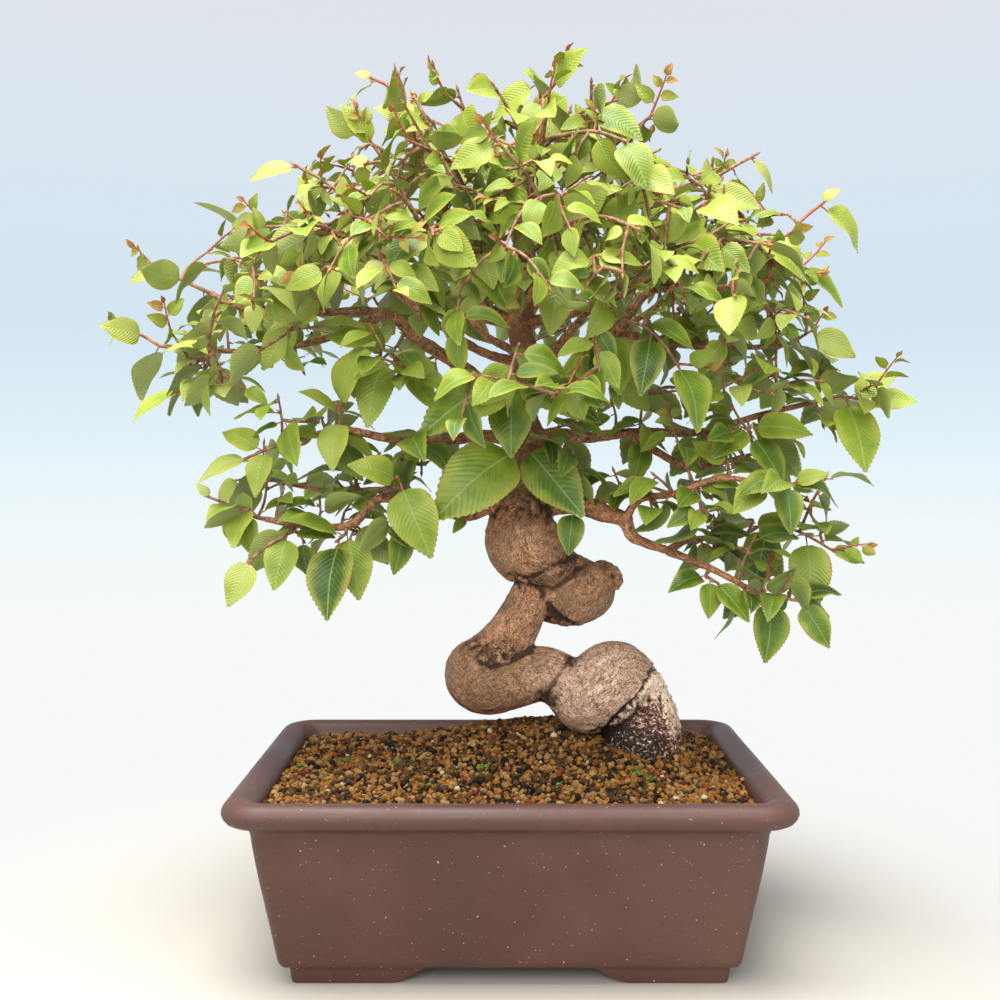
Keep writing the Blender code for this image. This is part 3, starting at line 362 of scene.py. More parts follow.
# Creases: places along each in the photo, half its width and its depth, which also sets the shade painted in
# it, or the light painted along a ridge where it is below 0.
CREASES = (
    (((655, 669), (648, 682), (638, 697), (629, 708), (619, 718), (606, 729), (592, 735)), 1.7, 2.0),
    (((509, 575), (523, 581), (536, 577), (547, 571), (559, 564), (574, 557)), 2.6, 1.0),
    (((574, 655), (563, 668), (555, 682), (548, 694)), 2.2, 0.5),
    (((524, 580), (534, 585), (543, 593), (549, 604)), 1.0, 0.7),
    (((549, 604), (553, 613), (561, 619), (574, 625)), 1.8, 1.4),
    (((610, 565), (617, 576), (617, 588)), 1.2, -1.2),
    (((480, 663), (492, 668), (506, 665), (518, 657), (531, 652)), 1.5, 0.6),
    (((470, 648), (484, 645), (497, 650)), 1.3, 0.5),
    (((661, 698), (663, 712), (668, 732)), 1.3, 0.9),
    (((668, 690), (672, 704)), 1.0, 0.6),
)
# Painted shade in hollows without a crease of their own, and broad painted shade over some lobes: place in
# the photo, reach and how dark.
PAINTED_SHADE_SPOTS = (
    (553, 616, 7, 1.0), (560, 622, 7, 1.1), (570, 627, 5, 0.8), (478, 660, 7, 0.5), (530, 579, 6, 0.5),
    (552, 700, 8, 0.7), (544, 697, 6, 0.6), (566, 709, 7, 0.5), (608, 740, 11, 1.3), (592, 739, 9, 1.0),
    (624, 738, 9, 0.9), (640, 750, 6, 0.7), (651, 677, 3, 0.8), (643, 690, 3.5, 0.9), (634, 702, 3.5, 0.8),
    (624, 713, 4, 0.9), (613, 723, 4.5, 1.0), (572, 560, 5, 0.5), (536, 651, 5, 0.3),
    (516, 580, 4, 0.5), (571, 660, 4, 0.5),
    (565, 668, 4, 0.45), (558, 677, 5, 0.5), (554, 688, 5, 0.5), (525, 536, 36, 0.56), (480, 652, 20, 0.46),
    (588, 590, 26, 0.34), (462, 690, 22, 0.26), (520, 640, 16, 0.2),
)
# Knots: place in the photo, reach, how deep the pit and how high its rim; the pit's depth also sets the shade
# painted in it.
KNOTS = (
    (505, 657, 3.4, 1.0, 0.8), (490, 652, 2.6, 0.6, 0.5), (613, 577, 4.2, 0.5, 1.3),
    (556, 548, 2.8, 0.4, 0.4), (571, 658, 2.2, 0.5, 0.3), (528, 503, 3.0, 0.6, 0.5),
)
PALE_SPOT, PALE_REACH = (606, 686, -12), 46.0
ROOT_EDGE = ((655, 668), (604, 731))

# A finer pot.
FINE_CORNER = 12
FINE_STRAIGHT = 22
SECTION_STEP = 1.6

# Moss flecks by u, v and reach, and seeds, where they show in the photo.
MOSS_SPOTS = (
    (346, 765, 3.0), (395, 766, 3.0), (483, 773, 2.5), (640, 778, 3.0), (650, 784, 2.0), (742, 776, 2.5),
    (300, 770, 1.5), (560, 790, 1.5), (430, 790, 1.2),
)
SEED_SPOTS = ((744, 786), (744, 800))
CRUMBS = 160

# The studio: tones of the paper by how high it stands, and each light's place, aim, size, power and colour.
PAPER_TONES = (
    (0.0, (247, 250, 249)), (0.02, (244, 250, 250)), (0.16, (229, 243, 250)), (0.36, (211, 230, 242)),
    (0.75, (219, 229, 239)), (1.0, (223, 227, 233)),
)
PAPER_HIGH = 1.4
FLOOR_TONE = (190, 184, 175)
LIGHTS = (
    ("top_light", (-0.15, -0.25, 1.4), (0, 0, 0.2), (1.0, 0.8), 40.0, (1.0, 0.985, 0.95)),
    ("front_light", (-0.25, -1.6, 1.0), (0, 0, 0.2), (1.3, 1.0), 26.0, (1.0, 0.98, 0.94)),
)
WORLD_POWER = 0.3
# The floor's section: how far out and how high, in metres.
FLOOR_PROFILE = (
    (0.0, 0.0), (0.6, 0.0), (1.1, 0.0), (1.6, 0.02), (2.0, 0.12), (2.4, 0.4), (2.7, 0.9), (2.8, 1.3),
    (2.8, 1.65),
)
FLOOR_SIDES = 96
# The camera: its sensor in millimetres, the photo's width in pixels and how many degrees it looks down.
SENSOR = 36.0
PHOTO_WIDE = 1000
LOOKS_DOWN = 1.878

# Grains on the soil.
GRAIN_STEP = 1.98
GRAIN_SIZE = (0.78, 1.95)
GRAIN_SHARES = (
    ("ochre", 0.34), ("tan", 0.21), ("brown", 0.29), ("dark", 0.115), ("pale", 0.01), ("rust", 0.035),
)
GRAIN_COLOURS = {
    "ochre": ((108, 68, 28), (160, 108, 50)), "tan": ((110, 82, 46), (166, 130, 78)),
    "brown": ((54, 38, 21), (92, 66, 38)), "dark": ((18, 14, 11), (42, 33, 23)),
    "pale": ((170, 150, 118), (206, 188, 156)), "rust": ((104, 50, 24), (138, 72, 36)),
}


def clamped(value):
    """The value held between 0 and 1."""
    return min(1.0, max(0.0, value))


def linked(name, data):
    """A new object of the scene with this data."""
    obj = bpy.data.objects.new(name, data)
    bpy.context.scene.collection.objects.link(obj)
    return obj


def mesh_object(name, points, faces):
    """A mesh given in millimetres, with its faces turned outward."""
    mesh = bpy.data.meshes.new(name)
    mesh.from_pydata([Vector(p) * MM for p in points], [], faces)
    work = bmesh.new()
    work.from_mesh(mesh)
    bmesh.ops.recalc_face_normals(work, faces=work.faces)
    work.to_mesh(mesh)
    work.free()
    return linked(name, mesh)


def seen(u, v, y):
    """The place at depth y that shows at u, v in the photo."""
    reach = (y - EYE[1]) / FOCAL
    return (EYE[0] + (u - MIDDLE_U) * reach, y, EYE[2] - (v - HORIZON_V) * reach)


def curve_through(points, step):
    """Points about step apart on a smooth curve through these. A radius in fourth place goes along."""
    found = []
    last = len(points) - 1
    for i in range(last):
        ends = (points[max(i - 1, 0)], points[i], points[i + 1], points[min(i + 2, last)])
        count = max(1, round(math.dist(points[i][:3], points[i + 1][:3]) / step))
        for k in range(count):
            t = k / count
            found.append(tuple(
                b + 0.5 * t * (c - a + t * (2 * a - 5 * b + 4 * c - d + t * (3 * (b - c) + d - a)))
                for a, b, c, d in zip(*ends)
            ))
    found.append(tuple(points[last]))
    return found


def with_radius(points, first, last, taper=1.0):
    """The points with a radius in fourth place that goes from first to last, sooner with a higher taper."""
    whole = max(1, len(points) - 1)
    return [(*p[:3], last + (first - last) * (1 - i / whole) ** taper) for i, p in enumerate(points)]


def tube(path, sides):
    """Points and faces of a closed tube round a path of x, y, z, radius."""
    places = [Vector(p[:3]) for p in path]
    points, faces = [], []
    across = None
    for i, place in enumerate(places):
        along = (places[min(i + 1, len(places) - 1)] - places[max(i - 1, 0)]).normalized()
        if across is None:
            across = along.orthogonal().normalized()
        across = (across - along * across.dot(along)).normalized()
        other = along.cross(across)
        for k in range(sides):
            turn = 2 * math.pi * k / sides
            points.append(place + path[i][3] * (math.cos(turn) * across + math.sin(turn) * other))
    for i in range(len(places) - 1):
        for k in range(sides):
            a, b = i * sides + k, i * sides + (k + 1) % sides
            faces.append((a, b, b + sides, a + sides))
    faces.append(tuple(range(sides - 1, -1, -1)))
    faces.append(tuple(range(len(points) - sides, len(points))))
    return points, faces


def leaf_place(leaf, along, out):
    """The place on a leaf at a share of its length, and a share of its length out from the midrib."""
    root, tip, normal, arch, fold = leaf["root"], leaf["tip"], leaf["normal"], leaf["arch"], leaf["fold"]
    axis = tip - root
    side = axis.cross(normal).normalized()
    face = side.cross(axis).normalized()
    length = axis.length
    lift = arch * math.sin(math.pi * along) + fold * abs(out)
    return root + axis * along + side * out * length + face * lift * length


def leaf_solid(leaf, thick, grow=1.0):
    """Points and faces of a leaf as a thin closed plate folded on its midrib, alike on both faces."""
    half = leaf["width"] / 2 * grow
    rim = [(0.0, 0.0)] + [(t, w * half) for t, w in LEAF_EDGE] + [(1.0, 0.0)]
    rim += [(t, -w * half) for t, w in reversed(LEAF_EDGE)]
    axis = leaf["tip"] - leaf["root"]
    face = axis.cross(leaf["normal"]).cross(axis).normalized()
    top = [leaf_place(leaf, t, w) for t, w in rim]
    points = [p + face * (thick / 2) for p in top] + [p - face * (thick / 2) for p in top]
    faces = []
    count, end = len(rim), len(LEAF_EDGE) + 1
    for i in range(count):
        j = (i + 1) % count
        if end not in (i, j):
            faces.append((j, i, end))
            faces.append((count + i, count + j, count + end))
        faces.append((i, j, count + j))
        faces.append((i, count + j, count + i))
    return points, faces


def settle(obj):
    """Replaces an object's mesh by what its modifiers make of it."""
    bpy.context.view_layer.update()
    graph = bpy.context.evaluated_depsgraph_get()
    mesh = bpy.data.meshes.new_from_object(obj.evaluated_get(graph))
    obj.modifiers.clear()
    obj.data = mesh


def combine(target, others, operation):
    """One Boolean of the target with all the others, which are then removed."""
    group = bpy.data.collections.new("joined")
    bpy.context.scene.collection.children.link(group)
    for other in others:
        for held in other.users_collection:
            held.objects.unlink(other)
        group.objects.link(other)
    boolean = target.modifiers.new("join", "BOOLEAN")
    boolean.operation = operation
    boolean.operand_type = "COLLECTION"
    boolean.collection = group
    boolean.solver = "EXACT"
    settle(target)
    for other in others:
        bpy.data.objects.remove(other)
    bpy.data.collections.remove(group)


def rounded_loop(half_long, half_wide, corner, z, steps):
    """A rounded rectangle seen from above, counter-clockwise."""
    points = []
    for quarter, (sx, sy) in enumerate(((1, 1), (-1, 1), (-1, -1), (1, -1))):
        for k in range(steps + 1):
            turn = math.pi / 2 * (quarter + k / steps)
            x = sx * (half_long - corner) + corner * math.cos(turn)
            y = sy * (half_wide - corner) + corner * math.sin(turn)
            points.append((x, y, z))
    return points


def section_loop(inset, z, steps):
    """The pot's rounded outline this far in from its lip's widest line."""
    return rounded_loop(HALF_LONG - inset, HALF_WIDE - inset, max(LIP_CORNER - 0.55 * inset, 3.0), z, steps)


def evened(loop, count):
    """The same closed loop with this many points, equally far apart along it."""
    ends = loop[1:] + loop[:1]
    lengths = [math.dist(a, b) for a, b in zip(loop, ends)]
    step = sum(lengths) / count
    points, done = [], 0.0
    for a, b, length in zip(loop, ends, lengths):
        while len(points) * step < done + length - 1e-6:
            share = (len(points) * step - done) / length
            points.append(tuple(p + (q - p) * share for p, q in zip(a, b)))
        done += length
    return points[:count]


def loft(loops):
    """Points and faces of a closed body through loops of equal count, with flat faces at both ends."""
    points, faces = [], []
    count = len(loops[0])
    for loop in loops:
        points.extend(loop)
    for i in range(len(loops) - 1):
        for k in range(count):
            a, b = i * count + k, i * count + (k + 1) % count
            faces.append((a, b, b + count, a + count))
    faces.append(tuple(range(count - 1, -1, -1)))
    faces.append(tuple(range(len(points) - count, len(points))))
    return points, faces


def upright(x, y, radius, bottom, top, sides):
    """An upright round bar."""
    return tube([(x, y, bottom, radius), (x, y, top, radius)], sides)


def arch_cutter(bottom_half, top_half, turned):
    """A bar with an ogee on both sides, which opens the pot's foot ring between two feet."""
    outline = []
    for k in range(ARCH_STEPS + 1):
        share = k / ARCH_STEPS
        ease = share * share * (3 - 2 * share)
        outline.append((bottom_half + (top_half - bottom_half) * share, ARCH_TOP * ease))
    outline = [(bottom_half + 1.0, -3.0)] + outline
    outline = outline + [(-x, z) for x, z in reversed(outline)]
    reach = HALF_LONG
    loops = [[(x, side * reach, z) for x, z in outline] for side in (-1, 1)]
    if turned:
        loops = [[(y, x, z) for x, y, z in loop] for loop in loops]
    return loft(loops)


def soil_height(x, y):
    """How high the soil stands, without its grains."""
    spread = ((x - MOUND_X) / MOUND_LONG) ** 2 + ((y - MOUND_Y) / MOUND_WIDE) ** 2
    edge = min(1.0, max(abs(x) / MOUND_REACH[0], abs(y) / MOUND_REACH[1]))
    return SOIL_LEVEL + MOUND_HIGH * math.exp(-spread) * (1 - edge ** MOUND_POWER)


def ball(place, radius, rough, rng, level=2):
    """Points and faces of a slightly uneven ball."""
    work = bmesh.new()
    bmesh.ops.create_icosphere(work, subdivisions=level, radius=radius)
    points = [Vector(place) + v.co * (1 + rng.uniform(-rough, rough)) for v in work.verts]
    faces = [tuple(v.index for v in f.verts) for f in work.faces]
    work.free()
    return points, faces


def build_core():
    """The thick snaking trunk: balls along its route, melted together and thinned to a few large facets."""
    rng = random.Random(3)
    route = curve_through([(*seen(u, v, y), r) for u, v, y, r in SNAKE], 3.0)
    route += [(*seen(u, v, y), r) for u, v, y, r in KNOBS]
    points, faces = [], []
    for x, y, z, r in route:
        more, sides = ball((x, y, z), r, 0.015, rng)
        faces += [tuple(i + len(points) for i in side) for side in sides]
        points += more
    core = mesh_object("core", points, faces)
    remesh = core.modifiers.new("melt", "REMESH")
    remesh.mode = "VOXEL"
    remesh.voxel_size = CORE_VOXEL * MM
    smooth = core.modifiers.new("smooth", "SMOOTH")
    smooth.iterations = 4
    settle(core)
    thin = core.modifiers.new("thin", "DECIMATE")
    thin.ratio = CORE_TRIANGLES / (2 * len(core.data.polygons))
    thin.use_collapse_triangulate = True
    settle(core)
    return core


def dome_place(bearing, out):
    """A place just under the dome's surface, by its bearing and how far out it is."""
    turn = math.radians(bearing)
    x = 3 + DOME_LONG * out * math.cos(turn) * (DOME_RIGHT if math.cos(turn) > 0 else 1)
    y = DOME_WIDE * out * math.sin(turn)
    return (x, y, DOME_TOP - DOME_FALL * out ** DOME_POWER)


def all_limbs():
    """Every limb's path of x, y, z, radius: the leader, those seen and those of the dome."""
    limbs = {"leader": curve_through([(*seen(u, v, y), r) for u, v, y, r in LEADER], LIMB_STEP)}
    for name, (first, last, places) in LIMBS.items():
        path = curve_through([seen(*place) for place in places], LIMB_STEP)
        limbs[name] = with_radius(path, first, last, LIMB_TAPER)
    for out, count, bearing, reach in DOME_RINGS:
        for k in range(count if reach else 0):
            rng = random.Random(100 + k)
            tip = Vector(dome_place(bearing + 360 * k / count, out))
            start = min(limbs["leader"], key=lambda p: abs(p[2] - (tip.z - 52 + 9 * (k % 3))))
            root = Vector(start[:3])
            places = [root]
            for share in (0.35, 0.7, 1.0):
                place = root.lerp(tip, share * reach)
                sag = 5 * math.sin(math.pi * share)
                place += Vector((rng.uniform(-4, 4), rng.uniform(-4, 4), rng.uniform(-2, 2) - sag))
                places.append(place)
            path = curve_through([tuple(p) for p in places], LIMB_STEP)
            limbs[f"dome_{k}"] = with_radius(path, *DOME_LIMB, LIMB_TAPER)
    return limbs


def nearest_on(path, place):
    """The place on a path nearest to this one, its radius, the path's direction there and how far along."""
    best = None
    for i, (a, b) in enumerate(zip(path, path[1:])):
        start, run = Vector(a[:3]), Vector(b[:3]) - Vector(a[:3])
        share = clamped((place - start).dot(run) / run.length_squared)
        here = start + run * share
        away = (place - here).length
        if best is None or away < best[0]:
            best = (away, here, a[3] + (b[3] - a[3]) * share, run.normalized(), i + share)
    return best[1:]


def seat_twig(limb, places):
    """The twig's path, started a gap off the limb: past its end where it goes on, or square off its side."""
    first = Vector(places[0])
    place, radius, along, place_along = nearest_on(limb, first)
    out = first - place
    if place_along > len(limb) - 1.01 and out.dot(along) > 0.5 * out.length:
        start, out = place + along * SEAT_GAP, along
    else:
        out = (out - along * out.dot(along)).normalized()
        start = place + out * (radius + SEAT_GAP)
    rest = [p for p in places if (Vector(p) - start).length > SEAT_RUN * 1.5]
    return [tuple(start), tuple(start + out * SEAT_RUN)] + rest


def stray_vector(rng):
    """A random step of up to 1 along each axis."""
    return Vector([rng.uniform(-1, 1) for _ in range(3)])


def leaf_between(root, tip, rng, facing):
    """A leaf from its root to its tip, turned to face about this way."""
    return {
        "root": Vector(root),
        "tip": Vector(tip),
        "normal": (Vector(facing).normalized() + stray_vector(rng) * LEAF_SWAY).normalized(),
        "width": rng.uniform(*LEAF_WIDTH),
        "arch": rng.uniform(0.02, 0.07),
        "fold": rng.uniform(0.05, 0.32),
    }


def twig_place(path, share):
    """The place at a share of a twig's length, short of its very end, and the twig's direction there."""
    length = sum(math.dist(a[:3], b[:3]) for a, b in zip(path, path[1:]))
    place = min(share, 1 - ROOT_DEPTH / length) * (len(path) - 1)
    i = min(int(place), len(path) - 2)
    here, there = Vector(path[i][:3]), Vector(path[i + 1][:3])
    return here.lerp(there, place - i), (there - here).normalized()


def rule_leaf(path, share, side, rng):
    """A leaf off a twig at a share of its length, to either side or off its end, hanging down and out."""
    here, along = twig_place(path, share)
    across = along.cross(Vector((0, 0, 1)))
    across = across.normalized() if across.length > 0.2 else Vector((1, 0, 0))
    turn = math.radians(rng.uniform(45, 72) if side else rng.uniform(-14, 14))
    way = along * math.cos(turn) + across * math.sin(turn) * (side or 1)
    droop = rng.uniform(-0.3, 0.3) if rng.random() < LEVEL_SHARE else rng.uniform(0.5, 1.5)
    way = (way - Vector((0, 0, droop))).normalized()
    high = clamped((here.z - 240) / 120)
    length = rng.uniform(*LEAF_LENGTH) * (1.0 - 0.15 * share - TOP_LEAF * high)
    bearing = math.atan2(here.y, here.x) + rng.uniform(-FACING_SPREAD, FACING_SPREAD)
    tip = here + way * length
    tip.z = min(tip.z, TREE_TOP)
    return leaf_between(here, tip, rng, (math.cos(bearing), math.sin(bearing), 0.4))


class Grove:
    """All solids placed so far, against which each new twig or leaf is tried."""

    def __init__(self):
        self.held = []
        self.lows, self.highs = np.zeros((9000, 3)), np.zeros((9000, 3))

    def clashes(self, points, faces, node, own=()):
        """True where this solid meets one of another node, or one of these kinds of its own."""
        places = np.array(points)
        low, high = places.min(0), places.max(0)
        count = len(self.held)
        near = (self.lows[:count] <= high).all(1) & (self.highs[:count] >= low).all(1)
        tree = None
        for i in np.nonzero(near)[0]:
            name, other, kind = self.held[i]
            if kind not in (own if name == node else ("trunk", "twig", "leaf")):
                continue
            tree = tree or BVHTree.FromPolygons(points, faces)
            if tree.overlap(other):
                return True
        return False

    def takes(self, leaf, node):
        """Holds a leaf if it meets no other solid, save its own twig near its root."""
        blade = dict(leaf, root=leaf["root"].lerp(leaf["tip"], ROOT_SHARE))
        if self.clashes(*leaf_solid(leaf, LEAF_THICK + 2 * LEAF_ROOM, LEAF_GROW), node, ("leaf",)):
            return False
        if self.clashes(*leaf_solid(blade, LEAF_THICK), node, ("twig",)):
            return False
        self.hold(*leaf_solid(leaf, LEAF_THICK), node, "leaf")
        return True

    def hold(self, points, faces, node, kind):
        places = np.array(points)
        self.lows[len(self.held)], self.highs[len(self.held)] = places.min(0), places.max(0)
        self.held.append((node, BVHTree.FromPolygons(points, faces), kind))


def twig_path(places):
    """A twig's path with its radius."""
    return with_radius(curve_through(places, TWIG_STEP), TWIG_ROOT, TWIG_TIP)


def widened(path):
    """The solid of a path with the gap that others keep from it."""
    return tube([(*p[:3], p[3] + GAP) for p in path], TWIG_SIDES)


def dome_twig(limbs, ring, k, grove):
    """The path of a dome spray's twig, from its limb out to the dome's surface by a way that is clear."""
    out, count, bearing, reach = DOME_RINGS[ring]
    rng = random.Random(200 + 20 * ring + k)
    tip = Vector(dome_place(bearing + 360 * k / count, out))
    if reach:
        limb = limbs[f"dome_{k}"]
        root = Vector(limb[-1][:3])
    else:
        limb = limbs["leader"]
        goal = tip.z - TWIG_RISE
        root = Vector(min(limb, key=lambda p: abs(p[2] - goal))[:3])
    for attempt in range(TWIG_TRIES):
        stray = [rng.uniform(-1, 1) * (8 + attempt) for _ in range(4)]
        half = root.lerp(tip, 0.55) + Vector((stray[0], stray[1], 5 + 0.5 * stray[2]))
        end = tip + Vector((-stray[1], stray[0], stray[3])) * 0.5
        path = twig_path(seat_twig(limb, [tuple(root.lerp(half, 0.3)), tuple(half), tuple(end)]))
        if not grove.clashes(*widened(path), "new"):
            break
    else:
        print("no clear way for a twig:", ring, k)
    return path


def side_twig(main, goal, name, rng, grove):
    """A side twig's path, from inside its main twig to near the goal by a way that is clear, or nothing."""
    for attempt in range(TWIG_TRIES):
        here, along = twig_place(main, rng.uniform(0.3, 0.8))
        end = goal + stray_vector(rng) * (2 + 0.4 * attempt)
        out = end - here
        if not SIDE_REACH[0] < out.length < SIDE_REACH[1] or out.normalized().dot(along) > 0.86:
            continue
        half = here + out * 0.5 + Vector((0, 0, 0.1 * out.length)) + stray_vector(rng) * 0.08 * out.length
        path = twig_path([tuple(here), tuple(half), tuple(end)])
        path[0] = (*path[0][:3], SIDE_ROOT)
        free = [(*p[:3], p[3] + GAP) for p in curve_through(path, 4.0)][1:]
        if not grove.clashes(*tube(free, TWIG_SIDES), name, ("twig", "leaf")):
            grove.hold(*tube(free, TWIG_SIDES), name, "twig")
            return path
    return None


def grow_sprays(limbs, grove):
    """Every spray as its twigs' paths and its leaves, none of which meets another spray or the trunk."""
    grove.hold(*clash_trunk(limbs), "trunk", "trunk")
    sprays, counts = {}, {}
    for name, (limb, places, _, more) in SPRAYS.items():
        path = twig_path(seat_twig(limbs[limb], [seen(*place) for place in places]))
        if grove.clashes(*widened(path), name):
            print("twig in the way:", name)
        grove.hold(*widened(path), name, "twig")
        sprays[name], counts[name] = ([path], []), [more]
    for ring, (_, around, _, _) in enumerate(DOME_RINGS):
        for k in range(around):
            name = f"spray_dome_{ring + 1}_{k + 1}"
            path = dome_twig(limbs, ring, k, grove)
            grove.hold(*widened(path), name, "twig")
            sprays[name], counts[name] = ([path], []), [DOME_LEAVES[ring]]
    for ring, (out, around, bearing, _) in enumerate(DOME_RINGS):
        for k in range(around):
            name = f"spray_dome_{ring + 1}_{k + 1}"
            rng = random.Random(name + " side")
            for turn, reach in DOME_SIDES[ring]:
                goal = Vector(dome_place(bearing + 360 * k / around + turn, reach))
                path = side_twig(sprays[name][0][0], goal, name, rng, grove)
                if path:
                    sprays[name][0].append(path)
                    counts[name].append(SIDE_LEAVES)
    for name, (_, _, drawn, _) in SPRAYS.items():
        rng = random.Random(name)
        (twig,), leaves = sprays[name]
        for leaf_ends in drawn:
            root, tip = Vector(seen(*leaf_ends[:3])), Vector(seen(*leaf_ends[3:]))
            places = [twig_place(twig, 0.25 + 0.75 * k / 30)[0] for k in range(31)]
            places.sort(key=lambda p: (p - root).length)
            for attempt in range(LEAF_TRIES):
                end = tip + stray_vector(rng) * attempt * 0.3
                leaf = leaf_between(places[attempt // 2], end, rng, DRAWN_FACING)
                if grove.takes(leaf, name):
                    leaves.append(leaf)
                    break
            else:
                print("no room for a drawn leaf:", name, leaf_ends)
    for name, (twigs, leaves) in sprays.items():
        rng = random.Random(name + " by rule")
        for path, count in zip(twigs, counts[name]):
            for i in range(count):
                share = FIRST_LEAF + (1 - FIRST_LEAF) * i / max(count - 1, 1)
                side = 0 if i == count - 1 else (-1) ** i
                for _ in range(LEAF_TRIES):
                    leaf = rule_leaf(path, share - rng.uniform(0, 0.08), side, rng)
                    if grove.takes(leaf, name):
                        leaves.append(leaf)
                        break
    return sprays


def linear(red, green, blue):
    """A colour given in 0 to 255 as the shader takes it."""
    shares = [c / 255 for c in (red, green, blue)]
    found = [((c + 0.055) / 1.055) ** 2.4 if c > 10 / 255 else c / 12.92 for c in shares]
    return (*found, 1.0)


class Shade:
    """A material's nodes, with short calls that add them and join them."""

    def __init__(self, name, roughness, specular):
        self.material = bpy.data.materials.new(name)
        self.material.use_nodes = True
        self.tree = self.material.node_tree
        self.shader = self.tree.nodes["Principled BSDF"]
        self.shader.inputs["Roughness"].default_value = roughness
        self.shader.inputs["Specular IOR Level"].default_value = specular

    def feed(self, socket, value):
        """Joins a socket to the one given, or sets it to the value given."""
        if isinstance(value, bpy.types.NodeSocket):
            self.tree.links.new(value, socket)
        else:
            socket.default_value = value

    def add(self, kind, values=(), **settings):
        node = self.tree.nodes.new(kind)
        for key, value in settings.items():
            setattr(node, key, value)
        for key, value in dict(values).items():
            self.feed(node.inputs[key], value)
        return node

    def place(self):
        return self.add("ShaderNodeTexCoord").outputs["Object"]

    def stretched(self, vector, scale):
        return self.add("ShaderNodeMapping", {"Vector": vector, "Scale": scale}).outputs[0]

    def noise(self, vector, scale, detail=3.0, rough=0.55, bent=0.0):
        values = {"Vector": vector, "Scale": scale, "Detail": detail, "Roughness": rough, "Distortion": bent}
        return self.add("ShaderNodeTexNoise", values).outputs["Fac"]

    def math(self, operation, a, b=0.0):
        return self.add("ShaderNodeMath", {0: a, 1: b}, operation=operation).outputs[0]

    def between(self, value, low, high, first=0.0, last=1.0):
        """The value's share of the way from low to high, eased and held, as a number from first to last."""
        values = {"Value": value, "From Min": low, "From Max": high, "To Min": first, "To Max": last}
        return self.add("ShaderNodeMapRange", values, interpolation_type="SMOOTHSTEP").outputs[0]

    def ramp(self, value, *stops):
        node = self.add("ShaderNodeValToRGB", {"Fac": value})
        found = node.color_ramp.elements
        while len(found) < len(stops):
            found.new(1.0)
        for element, (position, colour) in zip(found, stops):
            element.position = position
            element.color = linear(*colour)
        return node.outputs["Color"]

    def mix(self, share, a, b, blend="MIX"):
        node = self.add("ShaderNodeMix", {0: share, 6: a, 7: b}, data_type="RGBA", blend_type=blend)
        return node.outputs[2]

    def map(self, name):
        found = self.add("ShaderNodeUVMap", uv_map=name).outputs[0]
        apart = self.add("ShaderNodeSeparateXYZ", {0: found})
        return apart.outputs[0], apart.outputs[1]

    def height(self, value, distance, strength):
        values = {"Height": value, "Distance": distance, "Strength": strength}
        self.feed(self.shader.inputs["Normal"], self.add("ShaderNodeBump", values).outputs[0])

    def colour(self, value):
        self.feed(self.shader.inputs["Base Color"], value)

    def let_through(self, share, colour):
        """Lets this share of the light shine through, as a leaf does."""
        glow = self.add("ShaderNodeBsdfTranslucent", {"Color": colour}).outputs[0]
        mixed = self.add("ShaderNodeMixShader", {0: share, 1: self.shader.outputs[0], 2: glow}).outputs[0]
        self.tree.links.new(mixed, self.tree.nodes["Material Output"].inputs[0])


def vein_height(shade):
    """How near a place is to a side vein and to the midrib, and how far the blade rises to a side vein."""
    along, out = shade.map("blade")
    away = shade.math("ABSOLUTE", shade.math("SUBTRACT", out, 0.5))
    steep = shade.math("POWER", shade.math("MULTIPLY", away, 1.6), 2.0)
    bent = shade.math("ADD", shade.math("MULTIPLY", away, 0.75), steep)
    rank = shade.math("MULTIPLY", shade.math("SUBTRACT", along, bent), 12.5)
    apart = shade.math("ABSOLUTE", shade.math("SUBTRACT", shade.math("FRACT", rank), 0.5))
    side = shade.between(apart, 0.13, 0.03)
    middle = shade.between(away, 0.013, 0.004)
    rise = shade.between(apart, 0.5, 0.0)
    return side, middle, rise


def leaf_shade(name, tones, margin, veins, through):
    """A leaf's surface: its tone by lot from dark to light, paler veins, a light margin, scorched spots."""
    shade = Shade(name, 0.42, 0.5)
    share, lot = shade.map("lot")
    place = shade.place()
    side, middle, rise = vein_height(shade)
    mottle = shade.math("SUBTRACT", shade.noise(place, 130.0, 4.0), 0.5)
    tone = shade.math("ADD", lot, shade.math("MULTIPLY", mottle, 0.55))
    tone = shade.math("ADD", tone, shade.math("MULTIPLY", rise, -0.06))
    base = shade.ramp(tone, *tones)
    edge = shade.math("ADD", share, shade.math("MULTIPLY", mottle, 0.5))
    base = shade.mix(shade.between(edge, 0.42, 1.10, 0.0, 0.62), base, linear(*margin))
    base = shade.mix(shade.math("MULTIPLY", side, 0.12), base, linear(*veins))
    base = shade.mix(shade.math("MULTIPLY", middle, 0.34), base, linear(*veins))
    spots = shade.noise(place, 48.0, 3.0)
    scorched = shade.math("MULTIPLY", shade.between(spots, 0.57, 0.66), shade.between(edge, 0.90, 1.04))
    base = shade.mix(shade.math("MULTIPLY", scorched, 0.75), base, linear(176, 104, 60))
    shade.colour(base)
    ribs = shade.math("ADD", shade.math("MULTIPLY", rise, 0.7), shade.math("MULTIPLY", middle, -0.7))
    shade.height(shade.math("ADD", ribs, shade.math("MULTIPLY", mottle, 0.8)), 0.0005, 0.36)
    shade.let_through(through, base)
    return shade.material


